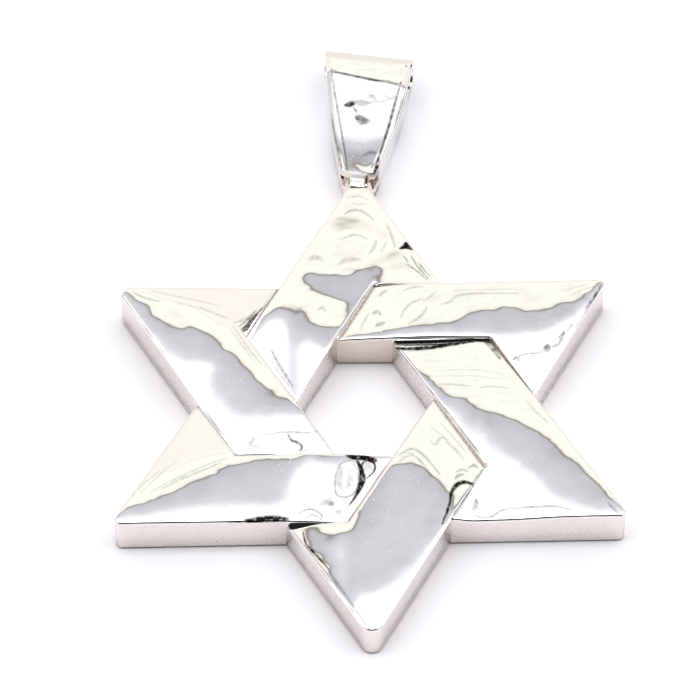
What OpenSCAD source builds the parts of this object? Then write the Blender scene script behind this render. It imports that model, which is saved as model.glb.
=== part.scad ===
/* [Star] */
// Distance from the centre to the sharp corner of a point, before it is rounded
point_r = 17.5; // [13:0.5:25]
// Thickness of the metal at the points and on top of each bar
star_t = 2.65; // [2.2:0.05:4]
// Width of a bar between its outer and its inner edge
bar_w = 4.95; // [4:0.05:6]
// Radius that rounds the bluntest of the free points
tip_r = 0.72; // [0.4:0.02:1.2]

/* [Weave] */
// Height of a bar where it sinks under its neighbour, as a share of the thickness
lap_share = 0.72; // [0.6:0.01:0.9]
// Length over which a bar sinks towards the neighbour that crosses it
dive_len = 4.2; // [2:0.1:7]
// Depth by which a sunken bar runs on inside its neighbour
tuck = 0.8; // [0.4:0.1:1.2]

/* [Eye] */
// Length of the sharp corner that is cut off the top point to make room for the eye
cut_l = 1.35; // [0.9:0.05:2]
// Width of the eye over both cheeks
eye_w = 1.9; // [1.7:0.05:2.4]
// Thickness of one cheek of the eye
cheek_t = 0.33; // [0.25:0.01:0.45]
// Diameter of the round bar that joins the cheeks and carries the bail
eye_bar_d = 0.8; // [0.6:0.02:1]

/* [Bail] */
// Thickness of the folded strip
strip_t = 0.65; // [0.5:0.01:0.8]
// Thickness of the bail over both legs at the fold
fold_t = 2.75; // [2.5:0.05:3.4]
// Length of the bail from the outside of its foot to the outside of its fold
bail_len = 11.65; // [9:0.1:15]
// Width of the strip across the fold
fold_w = 5.85; // [4:0.1:7]
// Width of the strip just above the tongue
foot_w = 2.1; // [1.9:0.05:2.6]
// Bulge of each long side of the strip past a straight taper
side_bulge = 0.25; // [0.05:0.01:0.5]
// Length of the narrow tongue that hooks through the eye
tongue_l = 1.5; // [1.4:0.01:1.7]
// Length of the open passage for the chain under the fold
passage_l = 2; // [1.4:0.05:3]
// Open slit that stays between the two legs
slit_h = 0.3; // [0.2:0.02:0.5]
// Angle by which the bail lies over to the right of the star's centre line
lean = 5.8; // [0:0.2:8]
// Extra turn of the fold line against the bail's own centre line
fold_skew = 3.8; // [0:0.2:5]
// Running gap between the bail and the eye
fit_gap = 0.15; // [0.12:0.01:0.2]

/* [Hidden] */

// Each arm is one point of the star with the bar that leaves it and ends under the next arm.
// The columns are: direction of the point, reach of the point, radius of its tip, height of its
// top, width of the bar at its point, width of the bar at its far end, height of the far end,
// length of the dive and height of the point's other flank.
// Reaches are shares of point_r, radii of tip_r, widths of bar_w, dives of dive_len, tops of
// star_t, and the other heights of the sunken height.
DIR = 0;
REACH = 1;
R_TIP = 2;
H_TOP = 3;
W_POINT = 4;
W_END = 5;
H_END = 6;
L_DIVE = 7;
H_FLANK = 8;
ARMS = [
    [90, 1, 1, 1, 1.02, 1.04, 1.12, 1, 1.2],
    [150, 1, 0.85, 1.06, 1.02, 1.04, 1.3, 0.9, 1.22],
    [210, 1.01, 0.56, 1, 0.99, 1, 1.12, 0.8, 1.18],
    [270, 0.99, 1, 0.97, 1.07, 1.05, 1.2, 0.9, 1.08],
    [330, 1.02, 0.5, 1, 1.07, 1.04, 1.14, 0.8, 1.1],
    [30, 1, 0.48, 1.04, 0.88, 0.84, 1.28, 1, 1.12]
];
ARM_COUNT = len(ARMS);
// The arm whose point is cut off and carries the eye
EYE_ARM = 0;

// In an arm's own frame its point is at +Y and its bar runs down to the left. These are the
// directions that the edge lines face: the bar's outer edge, the outer edge of the next bar,
// the point's other edge, and the bar that crosses over the point's base.
OWN_ANGLE = 150;
NEXT_ANGLE = 210;
FLANK_ANGLE = 30;
BASE_ANGLE = 90;

// Angle from one point to the next
POINT_STEP = 60;
tip_steps = 8;
side_steps = 8;
big = 4 * point_r;
eye_sides = 48;
fold_sides = 64;
// Sliver by which flush faces of one casting run into each other
merge = 0.05;
// Length by which a trimming outline overshoots the metal
spare = 1;

// The bail's foot is bent round the eye's bar, and both rest on the ground plane of the star
foot_t = eye_bar_d + 2 * fit_gap + 2 * strip_t;
foot_r = foot_t / 2;
fold_r = fold_t / 2;
cut_r = point_r - cut_l;
eye_y = cut_r + fit_gap + foot_r;
eye_z = foot_r;
tongue_w = eye_w - 2 * cheek_t - 2 * fit_gap;
// How far each cheek is rooted in the cut point, and the heights between which it stands
cheek_root = 0.5;
cheek_low = 0.35;
cheek_top = foot_t - fit_gap;
// The front leg rises from the foot to the fold by twice the angle between the two centres
leg_rise = 2 * atan((fold_r - foot_r) / (bail_len - fold_r - foot_r));

function unit(a) = [cos(a), sin(a)];
function turned(p, a) = [p[0] * cos(a) - p[1] * sin(a), p[0] * sin(a) + p[1] * cos(a)];
function cross2(p, q) = p[0] * q[1] - p[1] * q[0];
// Point where the lines p.unit(n1) = d1 and p.unit(n2) = d2 meet
function meet(n1, d1, n2, d2) =
    let (a = unit(n1), b = unit(n2))
    [d1 * b[1] - d2 * a[1], a[0] * d2 - b[0] * d1] / cross2(a, b);
// Point where the lines through p1, p2 and q1, q2 meet
function crossing(p1, p2, q1, q2) =
    p1 + (p2 - p1) * cross2(q1 - p1, q2 - q1) / cross2(p2 - p1, q2 - q1);
function arc(centre, r, from, to, steps) =
    [for (i = [0:steps]) centre + r * unit(from + (to - from) * i / steps)];

function next(i) = (i + 1) % ARM_COUNT;
function last(i) = (i + ARM_COUNT - 1) % ARM_COUNT;
// Each outer edge line of a regular hexagram lies at half the point radius from the centre
function edge_d(i) = point_r * ARMS[i][REACH] / 2;
function top_h(i) = star_t * ARMS[i][H_TOP];
function end_h(i) = star_t * lap_share * ARMS[i][H_END];
function flank_h(i) = star_t * lap_share * ARMS[i][H_FLANK];
// Notch between the point's other flank and the bar that crosses over the point's base
function notch(i) = meet(FLANK_ANGLE, edge_d(i), BASE_ANGLE, edge_d(last(i)));
// Where a bar's inner edge leaves its point, and where it would meet the next plain bar
function inner_top(i) =
    meet(OWN_ANGLE, edge_d(i) - bar_w * ARMS[i][W_POINT], BASE_ANGLE, edge_d(last(i)));
function inner_end(i) =
    meet(OWN_ANGLE, edge_d(i) - bar_w * ARMS[i][W_END], NEXT_ANGLE, edge_d(next(i)) - bar_w);
// The next arm's inner edge in this arm's frame, moved inwards by a depth
function next_inner(i, depth) =
    let (shift = depth * unit(NEXT_ANGLE))
    [for (p = [inner_top(next(i)), inner_end(next(i))]) turned(p, POINT_STEP) + shift];

// Corners of the point: an arc, or the two ends of the flat that cuts the eye's point off
function tip_points(i) =
    i == EYE_ARM
        ? [for (n = [FLANK_ANGLE, OWN_ANGLE]) meet(n, edge_d(i), BASE_ANGLE, cut_r)]
        : let (r = tip_r * ARMS[i][R_TIP])
          arc([0, 2 * (edge_d(i) - r)], r, FLANK_ANGLE, OWN_ANGLE, tip_steps);

function arm_outline(i) =
    let (
        tip = tip_points(i),
        far = next_inner(i, tuck),
        base = edge_d(last(i)) - merge
    )
    concat(tip, [
        crossing(tip[len(tip) - 1], meet(OWN_ANGLE, edge_d(i), BASE_ANGLE, base), far[0], far[1]),
        crossing(inner_top(i), inner_end(i), far[0], far[1]),
        crossing(inner_top(i), inner_end(i), [0, base], [1, base]),
        meet(FLANK_ANGLE, edge_d(i), BASE_ANGLE, base)
    ]);

// Everything above a plane that drops towards direction dir from a hinge line at height h
module above_slope(hinge, dir, drop, run, h) {
    translate([hinge[0], hinge[1], h])
        rotate([0, 0, dir])
            rotate([0, atan(drop / run), 0])
                translate([-big, -big, 0])
                    cube([2 * big, 2 * big, big]);
}

// The bar sinks towards the inner edge of the next arm
module dive_cut(i) {
    edge = next_inner(i, 0);
    run = dive_len * ARMS[i][L_DIVE];
    above_slope(edge[0] - run * unit(NEXT_ANGLE), NEXT_ANGLE, top_h(i) - end_h(i), run, top_h(i));
}

// The point's other flank sinks towards the notch where the bar before it crosses
module flank_cut(i) {
    tip = [0, 2 * edge_d(i)];
    hinge = inner_top(i) - tip;
    sideways = atan2(hinge[1], hinge[0]) + 90;
    run = (notch(i) - tip) * unit(sideways);
    above_slope(tip, sideways, top_h(i) - flank_h(i), run, top_h(i));
}

module arm(i) {
    rotate([0, 0, ARMS[i][DIR] - BASE_ANGLE])
        difference() {
            linear_extrude(top_h(i))
                polygon(arm_outline(i));
            dive_cut(i);
            flank_cut(i);
        }
}

// Extrudes a side view, drawn as length and height, to a width centred on the YZ plane
module across(width) {
    translate([-width / 2, 0, 0])
        rotate([90, 0, 90])
            linear_extrude(width)
                children();
}

module cheek() {
    across(cheek_t)
        union() {
            translate([eye_y, eye_z])
                circle(d = eye_bar_d, $fn = eye_sides);
            polygon([
                [cut_r - cheek_root, cheek_low],
                [cut_r, cheek_low],
                [eye_y, eye_z - eye_bar_d / 2],
                [eye_y, cheek_top],
                [cut_r - cheek_root, cheek_top]
            ]);
        }
}

module eye() {
    for (side = [-1, 1])
        translate([side * (eye_w - cheek_t) / 2, 0, 0])
            cheek();
    translate([-eye_w / 2 + merge, eye_y, eye_z])
        rotate([0, 90, 0])
            cylinder(d = eye_bar_d, h = eye_w - 2 * merge, $fn = eye_sides);
}

module star() {
    color("silver")
        union() {
            for (i = [0:ARM_COUNT - 1])
                arm(i);
            eye();
        }
}

// Side view of the bail as a belt round its foot and its fold, both standing on the ground
module belt(inset) {
    foot_c = [foot_r, foot_r];
    fold_c = [bail_len - fold_r, fold_r];
    normal = unit(90 + leg_rise);
    translate(foot_c)
        circle(r = foot_r - inset, $fn = fold_sides);
    translate(fold_c)
        circle(r = fold_r - inset, $fn = fold_sides);
    polygon([
        foot_c - [0, foot_r - inset],
        fold_c - [0, fold_r - inset],
        fold_c + (fold_r - inset) * normal,
        foot_c + (foot_r - inset) * normal
    ]);
}

// Height of the front leg's underside above the ground, at a length from the foot
function underside(y) = foot_r + ((foot_r - strip_t) + (y - foot_r) * sin(leg_rise)) / cos(leg_rise);

// The back leg is thick between the eye and the chain passage, up to the slit
module back_fill() {
    start = 2 * foot_r;
    end = bail_len - strip_t - passage_l;
    polygon([
        [start, strip_t / 2],
        [end, strip_t / 2],
        [end, underside(end) - slit_h],
        [start, underside(start) - slit_h]
    ]);
}

module bail_side() {
    difference() {
        belt(0);
        belt(strip_t);
    }
    back_fill();
}

// One long side of the strip, as an arc through its two ends that bulges outwards
function side_points() =
    let (
        foot = [foot_w / 2, tongue_l],
        fold = [fold_w / 2, bail_len],
        chord = norm(fold - foot),
        r = (chord * chord / 4 + side_bulge * side_bulge) / (2 * side_bulge),
        mid = (foot + fold) / 2,
        out = [fold[1] - foot[1], foot[0] - fold[0]] / chord,
        centre = mid + (side_bulge - r) * out,
        half = asin(chord / (2 * r)),
        facing = atan2(out[1], out[0])
    )
    concat(
        arc(centre, r, facing - half, facing + half, side_steps),
        [fold + spare * (fold - foot) / chord]
    );

function bail_outline() =
    let (
        right = concat([[tongue_w / 2, -spare], [tongue_w / 2, tongue_l]], side_points()),
        count = len(right)
    )
    concat(right, [for (i = [1:count]) [-right[count - i][0], right[count - i][1]]]);

module bail() {
    color("silver")
        translate([0, eye_y, 0])
            rotate([0, 0, -lean])
                intersection() {
                    rotate([0, 0, -fold_skew])
                        translate([0, -foot_r, 0])
                            across(2 * fold_w)
                                bail_side();
                    translate([0, -foot_r, -spare])
                        linear_extrude(fold_t + 2 * spare)
                            polygon(bail_outline());
                }
}

star();
bail();
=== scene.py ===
"""Star of David pendant in polished silver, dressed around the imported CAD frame.

Sizes are in millimetres until a mesh is made, and pixel coordinates are those of the 700 pixel
photograph, with x to the right and y down.
"""

from __future__ import annotations

import logging
import math
from collections.abc import Callable, Sequence
from dataclasses import dataclass, field
from enum import Enum

import bmesh
import bpy
import numpy as np
from mathutils import Matrix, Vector
from mathutils.geometry import delaunay_2d_cdt

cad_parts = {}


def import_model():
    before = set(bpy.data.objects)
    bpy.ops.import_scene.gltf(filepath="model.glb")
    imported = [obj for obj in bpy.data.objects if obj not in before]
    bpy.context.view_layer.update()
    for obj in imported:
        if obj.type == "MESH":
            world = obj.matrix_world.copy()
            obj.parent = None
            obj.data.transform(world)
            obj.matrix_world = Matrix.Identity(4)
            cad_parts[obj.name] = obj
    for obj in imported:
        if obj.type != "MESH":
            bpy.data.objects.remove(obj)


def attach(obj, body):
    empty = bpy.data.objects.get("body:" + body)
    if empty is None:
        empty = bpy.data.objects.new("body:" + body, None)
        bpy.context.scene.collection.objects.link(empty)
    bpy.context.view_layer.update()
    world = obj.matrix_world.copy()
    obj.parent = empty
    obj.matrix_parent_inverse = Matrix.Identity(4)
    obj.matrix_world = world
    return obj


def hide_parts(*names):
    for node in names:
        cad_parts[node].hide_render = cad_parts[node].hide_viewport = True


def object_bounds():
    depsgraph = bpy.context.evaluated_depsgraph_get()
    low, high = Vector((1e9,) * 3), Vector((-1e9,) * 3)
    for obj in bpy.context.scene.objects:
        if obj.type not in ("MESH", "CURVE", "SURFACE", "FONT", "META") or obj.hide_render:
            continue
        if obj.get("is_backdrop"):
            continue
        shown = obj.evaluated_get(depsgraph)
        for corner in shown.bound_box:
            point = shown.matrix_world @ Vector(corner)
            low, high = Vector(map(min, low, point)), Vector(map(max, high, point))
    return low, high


LOG = logging.getLogger("pendant")
METRE = 0.001
ROOT_BODY = "root"
# Edges that turn by more degrees than this stay sharp.
SHARP_ANGLE = 38.0
# Taken off a grid's length, so that the last place read still has a cell beyond it.
GRID_END = 1.001
# Stands in for the squared length of a line whose ends fall together.
TINY = 1e-12

MATH = "ShaderNodeMath"
MAP_RANGE = "ShaderNodeMapRange"
COLOUR_RAMP = "ShaderNodeValToRGB"

Array = np.ndarray
Pixel = tuple[float, float]


def linear(hex_colour: str) -> tuple[float, float, float, float]:
    """Turn an sRGB hex colour into a linear one.

    Args:
        hex_colour: Six hex digits with a leading hash.

    Returns:
        Red, green, blue and an alpha of one.
    """
    channels = [int(hex_colour[i : i + 2], 16) / 255 for i in (1, 3, 5)]
    toe, scale, offset, power = 0.04045, 12.92, 0.055, 2.4
    red, green, blue = (
        c / scale if c <= toe else ((c + offset) / (1 + offset)) ** power for c in channels
    )
    return red, green, blue, 1.0


def add_node(
    tree: bpy.types.NodeTree,
    kind: str,
    settings: dict | None = None,
    inputs: dict | Sequence = (),
    stops: Sequence[tuple[float, tuple]] = (),
) -> bpy.types.Node:
    """Add a node with its settings, its links and the stops of its colour ramp.

    Args:
        tree: The node tree it goes into.
        kind: The node's type name.
        settings: Properties of the node.
        inputs: Values, output sockets, or nodes whose first output is meant, by the name of
            the socket or in the sockets' order.
        stops: Position and colour of each stop of a colour ramp.

    Returns:
        The new node.
    """
    node = tree.nodes.new(kind)
    for name, value in (settings or {}).items():
        setattr(node, name, value)
    for key, value in inputs.items() if isinstance(inputs, dict) else enumerate(inputs):
        if isinstance(value, bpy.types.Node):
            value = value.outputs[0]
        if isinstance(value, bpy.types.NodeSocket):
            tree.links.new(value, node.inputs[key])
        else:
            node.inputs[key].default_value = value
    for number, (position, colour) in enumerate(stops):
        elements = node.color_ramp.elements
        element = elements[number] if number < 2 else elements.new(position)
        element.position, element.color = position, colour
    return node


def unit(degrees: float) -> Array:
    """Return the plan vector of length one in a direction."""
    return np.array([math.cos(math.radians(degrees)), math.sin(math.radians(degrees))])


def turned(points: Array, degrees: float) -> Array:
    """Turn plan points about the origin."""
    c, s = unit(degrees)
    return np.asarray(points, float) @ np.array([[c, s], [-s, c]])


def cross2(p: Array, q: Array) -> float:
    """Return the cross product of two plan vectors."""
    return float(p[0] * q[1] - p[1] * q[0])


def meet(n1: float, d1: float, n2: float, d2: float) -> Array:
    """Return the point where the lines p.unit(n1) = d1 and p.unit(n2) = d2 meet."""
    a, b = unit(n1), unit(n2)
    return np.array([d1 * b[1] - d2 * a[1], a[0] * d2 - b[0] * d1]) / cross2(a, b)


def crossing(p1: Array, p2: Array, q1: Array, q2: Array) -> Array:
    """Return the point where the lines through p1, p2 and q1, q2 meet."""
    return p1 + (p2 - p1) * cross2(q1 - p1, q2 - q1) / cross2(p2 - p1, q2 - q1)


def ramp_up(t: Array, soft: float) -> Array:
    """Return max(t, 0) with its corner rounded over plus or minus soft."""
    bend = np.clip(t + soft, 0, 2 * soft) ** 2 / (4 * soft)
    return bend + np.maximum(t - soft, 0)


def from_segment(points: Array, a: Array, b: Array) -> tuple[Array, Array]:
    """Measure how far plan points lie from the straight line between two points.

    Args:
        points: The plan points.
        a: Start of the line.
        b: Its end.

    Returns:
        The distances, and how far along the line the nearest spot lies, from 0 to 1.
    """
    step, off = b - a, points - a
    along = np.clip(off @ step / max(step @ step, TINY), 0, 1)
    return np.sqrt(((off - along[:, None] * step) ** 2).sum(axis=1)), along


def inside_ring(points: Array, ring: Array) -> Array:
    """Tell which plan points lie inside a closed line.

    Args:
        points: The plan points.
        ring: Points of the line, in order.

    Returns:
        Whether each point lies inside.
    """
    inside = np.zeros(len(points), bool)
    for a, b in zip(ring, np.roll(ring, -1, axis=0)):
        step, off = b - a, points - a
        if step[1]:
            spans = (a[1] > points[:, 1]) != (b[1] > points[:, 1])
            inside ^= spans & (off[:, 0] < step[0] * off[:, 1] / step[1])
    return inside


# Camera


@dataclass(frozen=True)
class PhotoView:
    """The camera fitted to the photograph.

    Angles are in radians, the offset and the sensor in millimetres and near_end in metres.
    """

    focal_px: float = 4504.5
    tilt: float = 0.64549
    pan: float = 0.02721
    roll: float = -0.00406
    offset: tuple[float, float, float] = (0.898, -4.498, -272.925)
    size_px: float = 700.0
    sensor: float = 36.0
    near_end: float = 0.01

    def turn(self) -> Array:
        """Return the rotation from the object's frame to the camera's."""
        roll, pan = (Matrix.Rotation(angle, 3, "Z") for angle in (self.roll, self.pan))
        return np.array(roll @ Matrix.Rotation(-self.tilt, 3, "X") @ pan)

    def place(self) -> Array:
        """Return the camera's place in the object's frame, in millimetres."""
        return -self.turn().T @ np.array(self.offset)

    def plan(self, pixels: Sequence[Pixel], height: float) -> Array:
        """Find the plan points that the photograph shows at some pixels.

        Args:
            pixels: Places in the photograph.
            height: Height of the surface there above the table.

        Returns:
            Rows of x and y in millimetres.
        """
        half = self.size_px / 2
        spots = np.array(pixels, float)
        rays = np.column_stack(
            [
                (spots[:, 0] - half) / self.focal_px,
                (half - spots[:, 1]) / self.focal_px,
                -np.ones(len(spots)),
            ]
        )
        rays = rays @ self.turn()
        eye = self.place()
        return (eye + rays * ((height - eye[2]) / rays[:, 2])[:, None])[:, :2]

    def build(self) -> None:
        """Make the scene's camera."""
        camera = bpy.data.objects.new("photo_camera", bpy.data.cameras.new("photo_camera"))
        camera.data.sensor_width = self.sensor
        camera.data.lens = self.focal_px / self.size_px * self.sensor
        camera.data.clip_start = self.near_end
        world = Matrix(self.turn().T.tolist()).to_4x4()
        world.translation = (self.place() * METRE).tolist()
        camera.matrix_world = world
        bpy.context.scene.collection.objects.link(camera)
        bpy.context.scene.camera = camera


VIEW = PhotoView()


# Light and table


@dataclass(frozen=True)
class Studio:
    """A pale light tent round a table of white card, with the things that the silver mirrors.

    Places on the tent are angles over the +Y horizon, seen from the object and measured through
    the zenith to the -Y horizon. The strips are on the back wall, inside the window, and three
    rows of gains multiply them. The roof's is brightest overhead. The room's is the dark behind
    the camera, full up to room_half aside and gone room_fade further out. The flanks' is what
    stands at the sides. Aside, a place is how far a direction of length one goes along X.
    """

    strength: float = 1.19
    table_size: float = 6.0
    card: str = "#F7F6FB"
    card_roughness: float = 0.9
    card_shine: float = 0.1
    window: tuple[float, float] = (38.0, 74.0)
    strips: tuple[tuple[float, str], ...] = (
        (38.0, "#EEE8E0"),
        (42.5, "#F4EFE7"),
        (44.5, "#F8F3EB"),
        (45.8, "#FAF8F0"),
        (46.3, "#F1F0E5"),
        (46.8, "#FBFCF5"),
        (49.2, "#F9F9F0"),
        (50.1, "#EFEDE1"),
        (50.55, "#B0ADA3"),
        (50.8, "#85827A"),
        (51.05, "#9A9897"),
        (51.5, "#BCBCC4"),
        (53.0, "#CACAD1"),
        (55.5, "#DADAE0"),
        (57.0, "#EEEFF4"),
        (59.0, "#FFFFFF"),
        (69.0, "#FFFFFF"),
        (69.7, "#2E2723"),
        (71.5, "#2E2723"),
        (72.2, "#FFFFFF"),
    )
    roof: tuple[tuple[float, float], ...] = (
        (0.0, 0.9),
        (5.0, 0.98),
        (31.0, 0.98),
        (36.0, 1.0),
        (56.0, 1.0),
        (60.0, 1.12),
        (74.0, 1.12),
        (80.0, 2.8),
        (103.0, 2.8),
        (107.0, 1.0),
        (176.0, 1.0),
        (180.0, 0.9),
    )
    room: tuple[tuple[float, float], ...] = (
        (0.0, 1.0),
        (105.0, 1.0),
        (110.0, 0.03),
        (171.0, 0.03),
        (175.0, 1.0),
    )
    flanks: tuple[tuple[float, float], ...] = (
        (0.0, 1.0),
        (0.8, 1.0),
        (0.84, 0.06),
        (0.93, 0.06),
        (0.97, 1.0),
    )
    room_half: float = 0.55
    room_fade: float = 0.2
    half_turn: float = 180.0

    def build_world(self) -> None:
        """Make the tent as a world whose light depends on direction alone."""
        world = bpy.data.worlds.new("light_tent")
        world.use_nodes = True
        tree = world.node_tree
        tree.nodes.clear()
        where = add_node(tree, "ShaderNodeTexCoord").outputs["Generated"]
        axes = add_node(tree, "ShaderNodeSeparateXYZ", None, [where]).outputs
        angle = add_node(tree, MATH, {"operation": "ARCTAN2"}, [axes["Z"], axes["Y"]])
        aside = add_node(tree, MATH, {"operation": "ABSOLUTE"}, [axes["X"]])
        turn = add_node(tree, MATH, {"operation": "DIVIDE"}, [angle, math.pi])
        low, high = self.window
        inside = add_node(tree, MAP_RANGE, None, [angle, math.radians(low), math.radians(high)])
        strips = [((a - low) / (high - low), linear(colour)) for a, colour in self.strips]
        light = add_node(tree, COLOUR_RAMP, None, [inside], strips)
        room_ends = [aside, self.room_half, self.room_half + self.room_fade, 1.0, 0.0]
        gains = (
            (self.roof, self.half_turn, turn, 1.0),
            (self.room, self.half_turn, turn, add_node(tree, MAP_RANGE, None, room_ends)),
            (self.flanks, 1.0, aside, 1.0),
        )
        for steps, full, place, amount in gains:
            stops = [(at / full, (g, g, g, 1.0)) for at, g in steps]
            gain = add_node(tree, COLOUR_RAMP, None, [place], stops)
            multiply = {"blend_type": "MULTIPLY"}
            light = add_node(tree, "ShaderNodeMixRGB", multiply, [amount, light, gain])
        sky = add_node(tree, "ShaderNodeBackground", None, [light, self.strength])
        add_node(tree, "ShaderNodeOutputWorld", None, [sky])
        bpy.context.scene.world = world
        bpy.context.scene.view_settings.view_transform = "Standard"

    def build_table(self) -> None:
        """Make the white table that the pendant lies on."""
        half = self.table_size / 2
        mesh = bpy.data.meshes.new("table")
        corners = [(-half, -half, 0), (half, -half, 0), (half, half, 0), (-half, half, 0)]
        mesh.from_pydata(corners, [], [(0, 1, 2, 3)])
        table = bpy.data.objects.new("table", mesh)
        bpy.context.scene.collection.objects.link(table)
        # Matt white with a trace of violet and hardly any shine, so the silver mirrors it evenly.
        card = bpy.data.materials.new("matt_white_card")
        card.use_nodes = True
        shader = card.node_tree.nodes["Principled BSDF"]
        shader.inputs["Base Color"].default_value = linear(self.card)
        shader.inputs["Roughness"].default_value = self.card_roughness
        shader.inputs["Specular IOR Level"].default_value = self.card_shine
        mesh.materials.append(card)
        table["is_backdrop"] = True


# Finishes


@dataclass(frozen=True)
class SilverFinish:
    """Sterling silver with one kind of surface.

    Fields are its name, the metal's colour, the dark colour mixed in for dirt in crevices and
    for painted shade and painted reflections, its roughness and how much that varies, the size
    in millimetres of its surface grain and how deep that is, the spacing and depth of casting
    pits, where their walls start and end as shares of the spacing, the size of the patches in
    which they are bare or hold dirt, how sharply those patches part and how much dirt the pits
    hold.
    """

    name: str
    metal: str
    dirt_and_shade: str
    roughness: float
    spread: float
    grain: float
    grain_depth: float
    pit_gap: float = 0.0
    pit_depth: float = 0.0
    pit_wall: tuple[float, float] = (0.02, 0.1)
    pit_patch: float = 3.0
    patch_edge: tuple[float, float] = (0.44, 0.56)
    pit_dirt: float = 0.45

    def build(self) -> None:
        """Make the material, which darkens where the mesh's attribute of dirt and painted shade says so.
        """
        material = bpy.data.materials.new(self.name)
        material.use_nodes = True
        tree = material.node_tree
        tree.nodes.clear()
        place = add_node(tree, "ShaderNodeTexCoord").outputs["Object"]
        scale = {"Vector": place, "Scale": 1 / (self.grain * METRE), "Detail": 3.0}
        grain = add_node(tree, "ShaderNodeTexNoise", None, scale).outputs["Fac"]
        smooth, coarse = max(self.roughness - self.spread, 0.0), self.roughness + self.spread
        rough = add_node(tree, MAP_RANGE, None, [grain, 0.0, 1.0, smooth, coarse])
        depth = self.grain_depth * METRE
        height = add_node(tree, MATH, {"operation": "MULTIPLY"}, [grain, depth])
        # The attribute darkens the metal for dirt, and also for painted shade along the foot and the
        # painted shade and reflections drawn on the tops.
        dirt_and_shade = add_node(tree, "ShaderNodeAttribute", {"attribute_name": "dirt_and_painted_shade"})
        dark = dirt_and_shade.outputs["Fac"]
        if self.pit_gap:
            scale = {"Vector": place, "Scale": 1 / (self.pit_gap * METRE)}
            cells = add_node(tree, "ShaderNodeTexVoronoi", None, scale).outputs["Distance"]
            pit = add_node(tree, MAP_RANGE, None, [cells, *self.pit_wall, 1.0, 0.0])
            # In some patches the pits are bare and sparkle, elsewhere they hold dirt.
            scale = {"Vector": place, "Scale": 1 / (self.pit_patch * METRE)}
            patch = add_node(tree, "ShaderNodeTexNoise", None, scale).outputs["Fac"]
            clean = add_node(tree, MAP_RANGE, None, [patch, *self.patch_edge])
            bare = add_node(tree, MATH, {"operation": "MULTIPLY"}, [pit, clean])
            filled = add_node(tree, MATH, {"operation": "SUBTRACT"}, [pit, bare])
            sink, add = -self.pit_depth * METRE, {"operation": "MULTIPLY_ADD"}
            height = add_node(tree, MATH, add, [bare, sink, height])
            dark = add_node(tree, MATH, {**add, "use_clamp": True}, [filled, self.pit_dirt, dark])
        relief = {"Strength": 1.0, "Distance": 1.0, "Height": height}
        bump = add_node(tree, "ShaderNodeBump", None, relief)
        tones = [dark, linear(self.metal), linear(self.dirt_and_shade)]
        look = {
            "Base Color": add_node(tree, "ShaderNodeMixRGB", None, tones),
            "Metallic": 1.0,
            "Roughness": rough,
            "Normal": bump,
        }
        shader = add_node(tree, "ShaderNodeBsdfPrincipled", None, look)
        add_node(tree, "ShaderNodeOutputMaterial", None, [shader])


class Finish(Enum):
    """The surfaces that the silver has."""

    # Buffed on a wheel: a clear mirror, with a few pinprick pits of the casting left in it. Real
    # pits are finer, and these are drawn as coarse as they need to show.
    MIRROR = SilverFinish(
        "mirror_polished_cast_silver", "#F1F0EF", "#1D1815", roughness=0.03, spread=0.02,
        grain=0.5, grain_depth=0.0003, pit_gap=0.42, pit_depth=0.0036,
    )
    # Filed and brushed over: the table's white shows in it as an even pinkish grey.
    SATIN = SilverFinish(
        "satin_filed_silver", "#EDE4DF", "#2A2320", roughness=0.26, spread=0.05,
        grain=0.3, grain_depth=0.0004,
    )
    # As cast, out of the buff's reach: a dull, slightly brown skin.
    CAST = SilverFinish(
        "rough_cast_silver", "#E4D9CF", "#2A211C", roughness=0.42, spread=0.1,
        grain=0.35, grain_depth=0.012,
    )


# Relief of the tops

# Angles over the +Y horizon at which the tent shows the tones that the tops mirror.
FLANK = 44.5
CREAM = 49.0
SHADE = 50.3
LINE = 50.9
GREY_RIM = 52.0
GREY = 52.6
GREY_CORE = 53.9
PALE = 56.0
WHITE = 62.0

# Millimetres over which cream gives way to grey, over which the grey gets paler, and how far
# inside the outline the middle of that lies.
RIM_FADE = 0.42
CORE_FADE = 1.8
CORE_INSET = 0.95


def waves(short: float, long: float, count: int, seed: int) -> list[tuple[Array, float]]:
    """Draw waves that run in random directions.

    Args:
        short: The shortest in millimetres.
        long: The longest.
        count: How many there are.
        seed: Seed of the random draws.

    Returns:
        For each its vector, in radians a millimetre, and its phase.
    """
    draw = np.random.default_rng(seed)
    drawn = []
    for _ in range(count):
        wave = short * (long / short) ** draw.random()
        heading = unit(360 * draw.random())
        drawn.append((heading * 2 * math.pi / wave, 2 * math.pi * draw.random()))
    return drawn


def noise(points: Array, short: float, long: float, count: int, seed: int) -> Array:
    """Return smooth noise of about one in size at plan points. See waves for the Args."""
    total = sum(np.sin(points @ wave + phase) for wave, phase in waves(short, long, count, seed))
    return total * math.sqrt(2 / count)


@dataclass(frozen=True)
class Ripple:
    """A sum of small waves that makes mirrored lines waver.

    Fields are the shortest and longest wave in millimetres, their number, the seed and the
    slope in degrees that they reach together.
    """

    short: float
    long: float
    count: int
    seed: int
    slope: float

    def lift(self, points: Array) -> Array:
        """Return the height that it adds at plan points."""
        size = math.radians(self.slope) / math.sqrt(self.count)
        return sum(
            size / np.linalg.norm(wave) * np.sin(points @ wave + phase)
            for wave, phase in waves(self.short, self.long, self.count, self.seed)
        )


def ease(share: Array) -> Array:
    """Return a smooth step that rises from 0 to 1 with the share."""
    t = np.clip(share, 0, 1)
    return t * t * (3 - 2 * t)


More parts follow.
